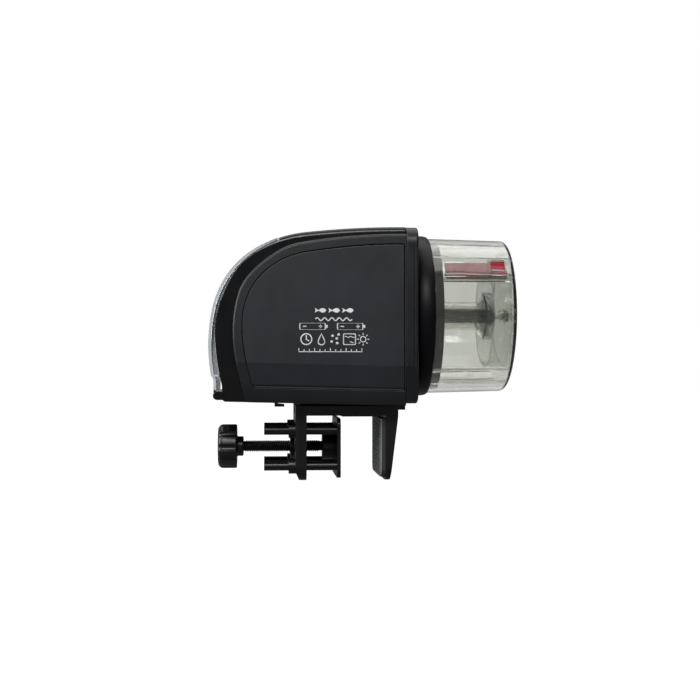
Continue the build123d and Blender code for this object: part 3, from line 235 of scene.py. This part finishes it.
def metal(name, colour, rough, grain=(0.05, 1.0, 1.0)):
    """Drawn or plated metal: fine lines along one axis, light tarnish."""
    s = Shader(name)
    s.set(Metallic=1.0)
    normal, edges = s.rounded(0.2 * MM)
    lines = s.noise(0.25 * MM, 2.0, 0.6, grain)
    tarnish = s.noise(5 * MM, 4.0)
    body = s.mix(s.remap(tarnish, 0.35, 0.7, 0.0, 1.0), colour, scaled(colour, 0.75))
    s.link(s.mix(edges, body, scaled(colour, 1.2)), s.surface.inputs["Base Color"])
    s.link(s.remap(lines, 0.3, 0.7, rough - 0.08, rough + 0.1), s.surface.inputs["Roughness"])
    s.bump([(lines, 0.006 * MM)], normal)
    return s.material


def rubber(name, colour, rough, groove_shade_span=None):
    """Soft rubber, matt and slightly dusty. The last argument gives the X range over which its grooves
    darken as painted shade.
    """
    s = Shader(name)
    normal, edges = s.rounded(0.3 * MM)
    dust = s.noise(3 * MM, 5.0, 0.65)
    body = s.mix(s.remap(dust, 0.4, 0.75, 0.0, 1.0), colour, scaled(colour, 1.35))
    body = s.mix(s.math("MULTIPLY", edges, 0.6), body, scaled(colour, 1.5))
    # Painted shade: the grooves darken with depth, nearly to black at their bottoms.
    if groove_shade_span:
        body = s.mix(s.remap(s.along(0), groove_shade_span[0], groove_shade_span[1], 0.0, 1.0), body, scaled(colour, 0.06))
    s.link(body, s.surface.inputs["Base Color"])
    s.link(s.remap(dust, 0.3, 0.7, rough - 0.06, rough + 0.08), s.surface.inputs["Roughness"])
    s.bump([(s.noise(0.3 * MM, 3.0), 0.015 * MM)], normal)
    return s.material


def streaked(name, colour, light, rough):
    """Smoky moulding with pale flow streaks along the drum's axis."""
    s = Shader(name)
    s.set(Transmission_Weight=0.2, IOR=PLASTIC_IOR)
    normal, edges = s.rounded(0.3 * MM)
    flow = s.noise(2.4 * MM, 4.0, 0.6, (0.08, 1.0, 1.0))
    body = s.mix(s.remap(flow, 0.46, 0.66, 0.0, 1.0), colour, light)
    body = s.mix(s.math("MULTIPLY", edges, 0.5), body, scaled(light, 1.1))
    s.link(body, s.surface.inputs["Base Color"])
    s.link(s.remap(flow, 0.3, 0.7, rough - 0.05, rough + 0.12), s.surface.inputs["Roughness"])
    s.bump([(flow, 0.02 * MM), (s.noise(0.4 * MM, 2.0), 0.006 * MM)], normal)
    return s.material


PAD_LOW, PAD_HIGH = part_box("jaw_pad")
GROOVE_DEPTH = 0.5 * MM

MATERIALS = {
    # The first housing colour, for the recessed central band, is partly painted shade of the recess.
    "housing": shell("housing_plastic", (0.0006, 0.0008, 0.0014), (0.0065, 0.0078, 0.0088), 0.22, 0.44),
    "panel": moulded("panel_plastic", (0.0100, 0.0108, 0.0140), 0.47, grain=0.45 * MM, depth=0.016 * MM),
    "collar": moulded("collar_plastic", (0.0030, 0.0036, 0.0050), 0.38, wear=3.0),
    "fascia": moulded("fascia_plastic", (0.016, 0.018, 0.021), 0.35, grain=0.6 * MM, depth=0.01 * MM),
    "drum_black": moulded("drum_base_plastic", (0.0010, 0.0012, 0.0020), 0.42, gloss=0.12),
    "clamp": moulded(
        "clamp_plastic", (0.0025, 0.0029, 0.0038), 0.32, grain=0.5 * MM, depth=0.01 * MM, wear=3.0,
    ),
    "inner": moulded("inner_plastic", (0.022, 0.022, 0.024), 0.5),
    "gear": moulded("acetal", (0.72, 0.70, 0.62), 0.35, wear=1.1, vary=0.05),
    # The clear finishes darken their tint as painted shade where they are seen edge-on and along sharp
    # edges.
    "cover": clear("cover_plastic", (0.50, 0.52, 0.54), 0.05, depth=0.001 * MM, edge_on_shade=0.6),
    "drum": clear("drum_plastic", (0.70, 0.71, 0.675), 0.02, edge_on_shade=0.4, sharp_edge_shade=0.3),
    "window": clear("window_plastic", (0.93, 0.95, 0.94), 0.03),
    "spindle": streaked("spindle_plastic", (0.010, 0.014, 0.016), (0.10, 0.12, 0.12), 0.22),
    "hub": clear("hub_plastic", (0.40, 0.42, 0.41), 0.04, edge_on_shade=0.15, sharp_edge_shade=0.3),
    "slider": moulded("slider_plastic", (0.24, 0.006, 0.022), 0.30, wear=1.5, vary=0.12),
    # The X range given last darkens the pad's grooves as painted shade.
    "knurl": rubber(
        "knurled_pad", (0.20, 0.21, 0.215), 0.6, (PAD_LOW.x + 0.1 * MM, PAD_LOW.x + GROOVE_DEPTH),
    ),
    "key": rubber("key_rubber", (0.10, 0.11, 0.12), 0.5),
    "red_key": rubber("red_key_rubber", (0.42, 0.03, 0.04), 0.48),
    "steel": metal("steel", (0.56, 0.57, 0.58), 0.30),
    "zinc": metal("zinc_plate", (0.50, 0.51, 0.53), 0.36, (1.0, 0.2, 0.2)),
    "nickel": metal("nickel", (0.62, 0.60, 0.54), 0.22),
    "brass": metal("sintered_brass", (0.60, 0.42, 0.18), 0.42),
    "board": moulded("circuit_board", (0.012, 0.10, 0.035), 0.35, grain=1.2 * MM, wear=1.6),
    "display": moulded(
        "display_face", (0.30, 0.34, 0.26), 0.32, grain=0.3 * MM, depth=0.004 * MM, wear=1.1, vary=0.05,
    ),
    "ink": moulded("display_ink", (0.015, 0.02, 0.02), 0.4),
    "sleeve": moulded("cell_sleeve", (0.03, 0.09, 0.22), 0.25, wear=1.6),
    "wire": moulded("wire_sleeve", (0.36, 0.02, 0.02), 0.4),
    "print": moulded(
        "print_white", (0.62, 0.63, 0.64), 0.5, grain=0.25 * MM, depth=0.006 * MM, wear=1.05, vary=0.08,
    ),
}

FINISH = {
    "near_shell": "housing", "far_shell": "housing", "battery_cover": "panel", "far_side_panel": "panel",
    "end_collar": "collar", "rail_catch": "housing", "control_fascia": "fascia", "display_cover": "cover",
    "cover_hinge_pin": "steel", "lcd_lens": "window", "lcd_module": "display", "set_button": "key",
    "mode_button": "key", "time_button": "key", "feed_button": "red_key", "control_board": "board",
    "tact_switches": "inner", "board_screws": "steel", "housing_screws": "steel", "battery_tray": "inner",
    "spindle_tube": "drum",
    "batteries": "sleeve", "battery_contacts": "nickel", "motor": "zinc", "motor_wires": "wire",
    "bulkhead": "inner", "motor_pinion": "gear", "drum_gear": "gear", "output_shaft": "steel",
    "shaft_bushes": "brass", "turn_cam": "gear", "turn_switch": "inner", "drum_base": "drum_black",
    "food_drum": "drum", "portion_slider": "slider", "spindle": "spindle", "hub_wheel": "hub",
    "spindle_pin": "steel", "drum_plug": "drum_black", "portion_ring": "drum", "clamp_bracket": "clamp",
    "jaw_pad": "knurl", "pressure_plate": "clamp", "clamp_screw": "clamp", "clamp_knob": "clamp",
}

for node_name, finish in FINISH.items():
    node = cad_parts[node_name]
    node.data.materials.clear()
    node.data.materials.append(MATERIALS[finish])


# ---------------------------------------------------------------- mesh helpers

def piece(name, verts, faces, body, finish, slot, smooth=30, replaces=()):
    """A mesh piece that rides on a body, with flat faces kept sharp above `smooth` degrees."""
    mesh = bpy.data.meshes.new(name)
    mesh.from_pydata([tuple(v) for v in verts], [], faces)
    mesh.validate()
    mesh.update()
    mesh.materials.append(MATERIALS[finish])
    made = bpy.data.objects.new(name, mesh)
    scene.collection.objects.link(made)
    for polygon in mesh.polygons:
        polygon.use_smooth = True
    mesh.set_sharp_from_angle(angle=math.radians(smooth))
    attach(made, body)
    if replaces:
        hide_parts(*replaces)
    return made


def grid_faces(rows, columns, wrap):
    """Quads of a grid of points stored row by row; wrap joins the last column to the first."""
    faces = []
    for r in range(rows - 1):
        for c in range(columns if wrap else columns - 1):
            d = (c + 1) % columns
            low, high = r * columns, (r + 1) * columns
            faces.append((low + c, low + d, high + d, high + c))
    return faces


def round_piece(name, profile, radius_at, centre, steps, **where):
    """A closed turned piece about an axis along X: profile gives (x, radius), radius_at reshapes it."""
    verts = []
    for x, radius in profile:
        for step in range(steps):
            turn = 2 * math.pi * step / steps
            r = radius_at(x, radius, turn)
            verts.append((x, centre[1] + r * math.cos(turn), centre[2] + r * math.sin(turn)))
    faces = grid_faces(len(profile), steps, True)
    faces.append(tuple(reversed(range(steps))))
    last = (len(profile) - 1) * steps
    faces.append(tuple(range(last, last + steps)))
    return piece(name, verts, faces, **where)


def middle(low, high):
    return (low + high) / 2


# ---------------------------------------------------------------- clamp screw, knob and pad

SCREW_LOW, SCREW_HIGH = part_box("clamp_screw")
KNOB_LOW, KNOB_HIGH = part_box("clamp_knob")
SCREW_AXIS = middle(SCREW_LOW, SCREW_HIGH)
PITCH = 1.0 * MM
THREAD_L = 35 * MM
TURN_STEPS = 40
STEPS_PER_PITCH = 8
CREST_R = 2.7 * MM
ROOT_R = 2.2 * MM
THREAD_FROM = KNOB_HIGH.x
THREAD_TO = THREAD_FROM + THREAD_L


def thread_radius(x, radius, turn):
    """Radius of a right-handed trapezoid thread, fading out at both ends."""
    if not THREAD_FROM < x < THREAD_TO:
        return radius
    phase = (x / PITCH - turn / (2 * math.pi)) % 1.0
    rise = min(phase, 1 - phase) * 2
    lift = max(0.0, min(1.0, (rise - 0.25) / 0.5))
    fade = min(1.0, (x - THREAD_FROM) / PITCH, (THREAD_TO - x) / PITCH)
    return ROOT_R + (CREST_R - ROOT_R) * lift * fade


def add_screw():
    """Clamp screw with a helical thread."""
    steps = int((THREAD_TO - THREAD_FROM) / PITCH * STEPS_PER_PITCH)
    profile = [(SCREW_LOW.x, ROOT_R)]
    profile += [(THREAD_FROM + (THREAD_TO - THREAD_FROM) * i / steps, ROOT_R) for i in range(steps + 1)]
    profile += [(SCREW_HIGH.x - 0.3 * MM, ROOT_R), (SCREW_HIGH.x, ROOT_R - 0.3 * MM)]
    round_piece(
        "screw_thread", profile, thread_radius, SCREW_AXIS, TURN_STEPS,
        body="screw", finish="clamp", slot="clamp_black", replaces=("clamp_screw",), smooth=50,
    )


KNOB_R = 10.0 * MM
KNOB_NECK_R = 4.5 * MM
KNOB_NECK_L = 2.95 * MM
KNOB_STEPS = 160
LOBES = 10
LOBE_DEPTH = 0.95 * MM


def knob_radius(x, radius, turn):
    """Ten soft grip lobes round the knob's rim."""
    if radius < 0.75 * KNOB_R:
        return radius
    scallop = max(0.0, math.cos(LOBES * turn)) ** 0.7
    return radius - LOBE_DEPTH * scallop


def add_knob():
    """Clamp knob: a dished face, soft lobes round the rim and a neck on the screw's side."""
    out_x, in_x = KNOB_LOW.x, KNOB_HIGH.x
    face_x = in_x - KNOB_NECK_L
    profile = [(out_x + 1.6 * MM, 0.6 * MM), (out_x + 1.5 * MM, 5.6 * MM), (out_x + 0.9 * MM, 6.3 * MM)]
    profile += [(out_x + 0.15 * MM, 6.7 * MM), (out_x, 7.1 * MM)]
    profile += rounded_corner((out_x, KNOB_R), 2.4 * MM, 1)
    profile += rounded_corner((face_x, KNOB_R), 0.7 * MM, -1)
    profile += [(face_x, 7.4 * MM), (face_x, KNOB_NECK_R + 0.5 * MM), (face_x + 0.5 * MM, KNOB_NECK_R)]
    profile += [(in_x - 0.4 * MM, KNOB_NECK_R), (in_x, KNOB_NECK_R - 0.4 * MM)]
    profile.append((in_x, ROOT_R + 0.3 * MM))
    round_piece(
        "lobed_knob", profile, knob_radius, SCREW_AXIS, KNOB_STEPS,
        body="screw", finish="clamp", slot="clamp_black", replaces=("clamp_knob",), smooth=40,
    )


def rounded_corner(corner, radius, side, steps=6):
    """Points of a quarter round at a profile's outer corner; side 1 turns outwards, -1 back in."""
    x, r = corner
    points = []
    for i in range(steps + 1):
        a = math.pi / 2 * i / steps
        points.append((x + side * radius * (1 - math.sin(a)), r - radius * (1 - math.cos(a))))
    return list(reversed(points)) if side > 0 else points


GROOVE_L = 4.2 * MM
GROOVE_W = 0.8 * MM
GROOVE_PITCH_Y = 7.2 * MM
GROOVE_PITCH_Z = 1.55 * MM
GROOVE_EDGE = 0.22 * MM
GRID_Y = 0.35 * MM
GRID_Z = 0.17 * MM
PAD_CORNER = 4.0 * MM
PAD_BORDER = 1.2 * MM


def groove_depth(y, z):
    """Depth of the pad's face: short level grooves in staggered rows."""
    row = math.floor(z / GROOVE_PITCH_Z)
    dz = z - (row + 0.5) * GROOVE_PITCH_Z
    dy = (y + (row % 2) * GROOVE_PITCH_Y / 2) % GROOVE_PITCH_Y - GROOVE_PITCH_Y / 2
    reach = math.hypot(max(0.0, abs(dy) - (GROOVE_L - GROOVE_W) / 2), dz)
    return GROOVE_DEPTH * max(0.0, min(1.0, (GROOVE_W / 2 - reach) / GROOVE_EDGE))


def add_grip_pad():
    """Pad on the fixed jaw whose face is a field of short grooves, with a plain border."""
    columns = int((PAD_HIGH.y - PAD_LOW.y) / GRID_Y)
    rows = int((PAD_HIGH.z - PAD_LOW.z) / GRID_Z)
    half = (PAD_HIGH.y - PAD_LOW.y) / 2
    verts = []
    for r in range(rows + 1):
        z = PAD_LOW.z + (PAD_HIGH.z - PAD_LOW.z) * r / rows
        up = min(PAD_CORNER, z - PAD_LOW.z)
        width = half - PAD_CORNER + math.sqrt(PAD_CORNER**2 - (PAD_CORNER - up) ** 2)
        for c in range(columns + 1):
            y = width * (2 * c / columns - 1)
            margin = min(width - abs(y), z - PAD_LOW.z, PAD_HIGH.z - z)
            verts.append((PAD_LOW.x + (groove_depth(y, z) if margin > PAD_BORDER else 0.0), y, z))
    front = len(verts)
    faces = grid_faces(rows + 1, columns + 1, False)
    ring = [r * (columns + 1) for r in range(rows, -1, -1)]
    ring += list(range(1, columns + 1))
    ring += [r * (columns + 1) + columns for r in range(1, rows + 1)]
    ring += [rows * (columns + 1) + c for c in range(columns - 1, 0, -1)]
    verts += [(PAD_HIGH.x, verts[i][1], verts[i][2]) for i in ring]
    count = len(ring)
    for i in range(count):
        j = (i + 1) % count
        faces.append((ring[j], front + j, front + i, ring[i]))
    faces.append(tuple(front + i for i in range(count)))
    faces = [tuple(reversed(f)) for f in faces]
    piece("grooved_pad", verts, faces, "bracket", "knurl", "knurled_grey", 20, ("jaw_pad",))


# ---------------------------------------------------------------- printed signs and display

def plate(name, rings, place, low, high, **where):
    """A thin closed plate between two heights. rings is one outline, or an outer and an inner one."""
    count = len(rings[0])
    levels = [[place(u, v, height) for u, v in ring] for ring in rings for height in (low, high)]
    verts = [point for level in levels for point in level]
    faces = []
    for i in range(count):
        j = (i + 1) % count
        faces.append((i, j, count + j, count + i))
        if len(rings) > 1:
            inner = 2 * count
            faces.append((inner + j, inner + i, inner + count + i, inner + count + j))
            faces.append((count + i, count + j, inner + count + j, inner + count + i))
            faces.append((j, i, inner + i, inner + j))
    if len(rings) == 1:
        faces += [tuple(reversed(range(count))), tuple(range(count, 2 * count))]
    made = piece(name, verts, faces, **where)
    solid = bmesh.new()
    solid.from_mesh(made.data)
    bmesh.ops.recalc_face_normals(solid, faces=solid.faces)
    solid.to_mesh(made.data)
    solid.free()
    return made


def stroke(points, width):
    """Outline of an open line of the given width."""
    sides = ([], [])
    for i, (u, v) in enumerate(points):
        before, after = points[max(0, i - 1)], points[min(len(points) - 1, i + 1)]
        along = Vector((after[0] - before[0], after[1] - before[1])).normalized()
        for side, sign in zip(sides, (1, -1)):
            side.append((u - sign * along.y * width / 2, v + sign * along.x * width / 2))
    return sides[0] + sides[1][::-1]


def ring_of(outline, width):
    """An outline and the same one drawn in by about the width, about its centre."""
    u = sum(point[0] for point in outline) / len(outline)
    v = sum(point[1] for point in outline) / len(outline)
    inner = []
    for a, b in outline:
        reach = math.hypot(a - u, b - v)
        inner.append((u + (a - u) * (1 - width / reach), v + (b - v) * (1 - width / reach)))
    return [outline, inner]


def round_outline(u, v, width, height, steps=24):
    """Outline of an ellipse."""
    turns = [2 * math.pi * i / steps for i in range(steps)]
    return [(u + width / 2 * math.cos(a), v + height / 2 * math.sin(a)) for a in turns]


def drop_outline(u, v, width, height, steps=20):
    """Outline of a water drop with its point upwards."""
    points = []
    for i in range(steps):
        a = 2 * math.pi * i / steps
        across = width / 2 * math.sin(a) * math.sin(a / 2) ** 1.5
        points.append((u + across, v + height / 2 * math.cos(a)))
    return points


def wave(u, v, length, height, bends, steps=36):
    """Points of a wavy line that starts at u."""
    return [
        (u + length * i / steps, v + height / 2 * math.sin(2 * math.pi * bends * i / steps))
        for i in range(steps + 1)
    ]


def box_outline(u, v, width, height, corner=0.0, steps=4):
    """Outline of a rectangle about (u, v), with rounded corners if corner is more than 0."""
    if corner <= 0:
        w, h = width / 2, height / 2
        return [(u - w, v - h), (u + w, v - h), (u + w, v + h), (u - w, v + h)]
    points = []
    for quarter, (su, sv) in enumerate(((1, 1), (-1, 1), (-1, -1), (1, -1))):
        for i in range(steps + 1):
            a = math.pi / 2 * (quarter + i / steps)
            points.append((
                u + su * (width / 2 - corner) + corner * math.cos(a),
                v + sv * (height / 2 - corner) + corner * math.sin(a),
            ))
    return points


def fish_outline(u, v, length, steps=14):
    """A plain fish seen from the side, nose towards +u: lens-shaped body and a forked tail."""
    body = length * 0.72
    half = length * 0.21
    nose = u + length / 2
    upper = []
    for i in range(steps + 1):
        t = i / steps
        upper.append((nose - body * t, half * math.sin(math.pi * t**0.8) * (1 - 0.12 * t)))
    tail = [(u - length / 2, half * 1.0), (u - length * 0.42, 0.0), (u - length / 2, -half * 1.0)]
    neck = nose - body
    top = [(a, v + max(b, 0.05 * half)) for a, b in upper[:-1]] + [(neck, v + 0.28 * half)]
    low = [(neck, v - 0.28 * half)] + [(a, v - max(b, 0.05 * half)) for a, b in reversed(upper[1:-1])]
    return top + [(a, v + b) for a, b in tail] + low


# ---------------------------------------------------------------- floor, light and camera

FLOOR_HALF = 6.0
FLOOR_GAP = 0.3 * MM        # floor below the clamp's lowest point
FLOOR_SEEN = 0.97           # glow of the floor where it is seen
FLOOR_LIGHT = 0.12          # and as a light on the object
AMBIENT = 0.25              # the surroundings as a light
LENS = 61.7
SENSOR = 36.0
EYE = Vector((-0.036, -0.552, 0.0215))
LOOK_AT = Vector((0.0031, 0.0, 0.0298))
CENTRE = (0.0, 0.0, 0.035)
# name, place, width and height, power in watts
SOFTBOXES = (
    ("front_softbox", (-0.15, -0.95, 0.70), (0.7, 0.35), 11),
    ("left_softbox", (-0.80, -0.10, 0.35), (0.5, 0.6), 9),
    ("top_softbox", (0.05, 0.15, 0.85), (1.2, 0.9), 7),
)


def seen_or_lighting(tree, seen, lighting):
    """Strength of a glow: one value where it is seen, also through plastic, another as a light."""
    rays = tree.nodes.new("ShaderNodeLightPath")
    either = tree.nodes.new("ShaderNodeMath")
    either.operation = "MAXIMUM"
    strength = tree.nodes.new("ShaderNodeMapRange")
    strength.inputs["To Min"].default_value = lighting
    strength.inputs["To Max"].default_value = seen
    tree.links.new(rays.outputs["Is Camera Ray"], either.inputs[0])
    tree.links.new(rays.outputs["Is Transmission Ray"], either.inputs[1])
    tree.links.new(either.outputs["Value"], strength.inputs["Value"])
    return strength.outputs["Result"]


def add_stage():
    """A pale floor that looks as bright as the surroundings, so that it stays even to the horizon."""
    floor_z = CAD_BOUNDS[0][2] - FLOOR_GAP
    size = FLOOR_HALF
    mesh = bpy.data.meshes.new("floor")
    mesh.from_pydata(
        [(-size, -size, floor_z), (size, -size, floor_z), (size, size, floor_z), (-size, size, floor_z)],
        [], [(0, 1, 2, 3)],
    )
    floor = bpy.data.objects.new("floor", mesh)
    scene.collection.objects.link(floor)
    s = Shader("floor_paint")
    paint = s.mix(s.noise(0.25, 3.0), (0.115, 0.115, 0.115), (0.125, 0.125, 0.125))
    s.link(paint, s.surface.inputs["Base Color"])
    s.set(Roughness=0.9, Specular_IOR_Level=0.0, Emission_Color=(1.0, 1.0, 1.0, 1.0))
    s.link(seen_or_lighting(s.tree, FLOOR_SEEN, FLOOR_LIGHT), s.surface.inputs["Emission Strength"])
    mesh.materials.append(s.material)


def add_world():
    """White surroundings, bright behind the object and behind clear plastic, softer as a light."""
    world = bpy.data.worlds.new("studio")
    world.use_nodes = True
    background = world.node_tree.nodes["Background"]
    background.inputs["Color"].default_value = (1.0, 1.0, 1.0, 1.0)
    strength = seen_or_lighting(world.node_tree, 1.0, AMBIENT)
    world.node_tree.links.new(strength, background.inputs["Strength"])
    scene.world = world


def add_light(name, place, size, power):
    """A rectangular softbox that faces the middle of the object."""
    data = bpy.data.lights.new(name, "AREA")
    data.shape = "RECTANGLE"
    data.size, data.size_y = size
    data.energy = power
    light = bpy.data.objects.new(name, data)
    light.location = place
    light.rotation_euler = (Vector(CENTRE) - Vector(place)).to_track_quat("-Z", "Y").to_euler()
    scene.collection.objects.link(light)


def add_camera():
    """The view square to the near side, a little to the left of the clamp and near its height."""
    data = bpy.data.cameras.new("camera")
    data.lens = LENS
    data.sensor_width = SENSOR
    camera = bpy.data.objects.new("camera", data)
    camera.location = EYE
    camera.rotation_euler = (LOOK_AT - EYE).to_track_quat("-Z", "Y").to_euler()
    scene.collection.objects.link(camera)
    scene.camera = camera


PANEL_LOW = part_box("battery_cover")[0]
WINDOW_LOW, WINDOW_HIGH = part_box("lcd_lens")
MODULE_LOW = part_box("lcd_module")[0]
PRINT_T = 0.05 * MM
SUNK = 0.03 * MM            # how deep a printed sign's underside sits in the surface
LINE = 0.5 * MM


def on_panel(u, v, height):
    """A point on the near panel, given in mm: u along X, v up, height off the surface."""
    return (u * MM, PANEL_LOW.y - height, v * MM)


# the signs' rows and places, in mm
FISH_U, FISH_V, FISH_L, FISH_PITCH = -12.2, 46.3, 5.0, 5.9
WAVE_U, WAVE_V, WAVE_L, WAVE_H, WAVE_BENDS = -14.4, 42.5, 15.8, 1.3, 5
CELL_US, CELL_V = (-15.6, 0.6), 39.4
CELL_L, CELL_H, CELL_CORNER, CELL_LINE = 11.4, 2.9, 0.5, 0.45
CELL_END_U, MARK_U, MARK_L = 6.1, 3.4, 1.5
ICON_V = 33.9
CLOCK_U, CLOCK_R = -18.3, 2.6
DROP_U, DROP_W, DROP_H = -11.8, 4.6, 5.4
PELLETS = ((-7.0, 35.4), (-5.2, 34.2), (-7.4, 32.9), (-4.4, 35.9), (-5.0, 32.2))
TANK_U, TANK_W, TANK_H = 0.3, 5.6, 5.0
SUN_U, SUN_R, SUN_LINE, RAYS, RAY_FROM, RAY_TO = 6.2, 1.4, 0.4, 8, 1.9, 2.7
SCALE_U, SCALE_V, SCALE_L, THIN = -7.9, 28.5, 27.6, 0.35
TICKS, TICK_U, TICK_PITCH = 13, -21.5, 2.26


def add_panel_print():
    """Plain signs on the near panel: fish, wave, two cells, clock, drop, pellets, tank, sun, scale."""
    line = LINE / MM
    signs = {}
    for i in range(3):
        signs[f"fish_{i}"] = [fish_outline(FISH_U + FISH_PITCH * i, FISH_V, FISH_L)]
    signs["water_0"] = [stroke(wave(WAVE_U, WAVE_V, WAVE_L, WAVE_H, WAVE_BENDS), line)]
    for i, u in enumerate(CELL_US):
        signs[f"cell_{i}"] = ring_of(box_outline(u, CELL_V, CELL_L, CELL_H, CELL_CORNER), CELL_LINE)
        signs[f"cell_end_{i}"] = [box_outline(u + CELL_END_U, CELL_V, 0.8, 1.3)]
        signs[f"minus_{i}"] = [box_outline(u - MARK_U, CELL_V, MARK_L, CELL_LINE)]
        signs[f"plus_{i}"] = [box_outline(u + MARK_U, CELL_V, MARK_L, CELL_LINE)]
        signs[f"plus_up_{i}"] = [box_outline(u + MARK_U, CELL_V, CELL_LINE, MARK_L)]
    signs["clock"] = ring_of(round_outline(CLOCK_U, ICON_V, 2 * CLOCK_R, 2 * CLOCK_R), line)
    signs["clock_hour"] = [stroke([(CLOCK_U, ICON_V), (CLOCK_U, ICON_V + 1.7)], line)]
    signs["clock_minute"] = [stroke([(CLOCK_U - 0.2, ICON_V), (CLOCK_U + 1.2, ICON_V - 0.8)], line)]
    signs["drop"] = ring_of(drop_outline(DROP_U, ICON_V, DROP_W, DROP_H), line)
    for i, (u, v) in enumerate(PELLETS):
        signs[f"pellet_{i}"] = [round_outline(u, v, 1.2, 1.1, 12)]
    signs["tank"] = ring_of(box_outline(TANK_U, ICON_V, TANK_W, TANK_H, 0.6), line)
    signs["tank_water"] = [stroke(wave(TANK_U - 2.1, ICON_V + 1.0, 4.2, 0.5, 2, 16), THIN)]
    signs["tank_weed"] = [stroke(wave(TANK_U + 0.2, ICON_V - 1.3, 1.6, 0.5, 1, 8), THIN)]
    signs["sun"] = ring_of(round_outline(SUN_U, ICON_V, 2 * SUN_R, 2 * SUN_R), SUN_LINE)
    for i in range(RAYS):
        du, dv = math.cos(2 * math.pi * i / RAYS), math.sin(2 * math.pi * i / RAYS)
        ends = [(SUN_U + reach * du, ICON_V + reach * dv) for reach in (RAY_FROM, RAY_TO)]
        signs[f"ray_{i}"] = [stroke(ends, SUN_LINE)]
    signs["scale"] = [box_outline(SCALE_U, SCALE_V, SCALE_L, THIN)]
    for i in range(TICKS):
        rise, length = (0.6, 1.0) if i % 3 else (0.8, 1.5)
        signs[f"tick_{i}"] = [box_outline(TICK_U + TICK_PITCH * i, SCALE_V + rise, THIN, length)]
    for name, rings in signs.items():
        plate(
            f"sign_{name}", rings, on_panel, -SUNK, PRINT_T - SUNK,
            body="battery_door", finish="print", slot="display_grey",
        )


def on_display(u, v, height):
    """A point on the display's front: u towards -Y as the reader sees it, v up."""
    return (MODULE_LOW.x - height, -u, v)


SEGMENTS = {"0": "abcdef", "1": "bc", "2": "abged"}
DIGIT_PLACES = (-12.0, -5.0, 5.0, 12.0)
DIGIT_W = 4.2 * MM
DIGIT_H = 8.6 * MM
BAR = 0.9 * MM
BAR_GAP = 0.25 * MM
DOT = 1.1 * MM


def add_digit(name, digit, u, v):
    """A seven-segment digit of small bars."""
    half = DIGIT_H / 2
    spans = {
        "a": (0, half, DIGIT_W, BAR), "g": (0, 0, DIGIT_W, BAR), "d": (0, -half, DIGIT_W, BAR),
        "b": (DIGIT_W / 2, half / 2, BAR, half), "f": (-DIGIT_W / 2, half / 2, BAR, half),
        "c": (DIGIT_W / 2, -half / 2, BAR, half), "e": (-DIGIT_W / 2, -half / 2, BAR, half),
    }
    for segment in SEGMENTS[digit]:
        du, dv, w, h = spans[segment]
        plate(
            f"{name}_{segment}", [box_outline(u + du, v + dv, w - BAR_GAP, h - BAR_GAP)],
            on_display, -SUNK, PRINT_T - SUNK, body="housing", finish="ink", slot="part_black",
        )


def add_display():
    """The time as four digits with a colon between them."""
    centre_v = (WINDOW_LOW.z + WINDOW_HIGH.z) / 2
    for place, digit in zip(DIGIT_PLACES, "1200"):
        add_digit(f"digit_{int(place) + 20}", digit, place * MM, centre_v)
    for v in (-1.8, 1.8):
        plate(
            f"colon_{'low' if v < 0 else 'high'}", [box_outline(0, centre_v + v * MM, DOT, DOT)],
            on_display, -SUNK, PRINT_T - SUNK, body="housing", finish="ink", slot="part_black",
        )


add_screw()
add_knob()
add_grip_pad()
add_panel_print()
add_display()
add_stage()
add_world()
for softbox in SOFTBOXES:
    add_light(*softbox)
add_camera()
scene.view_settings.view_transform = "Standard"
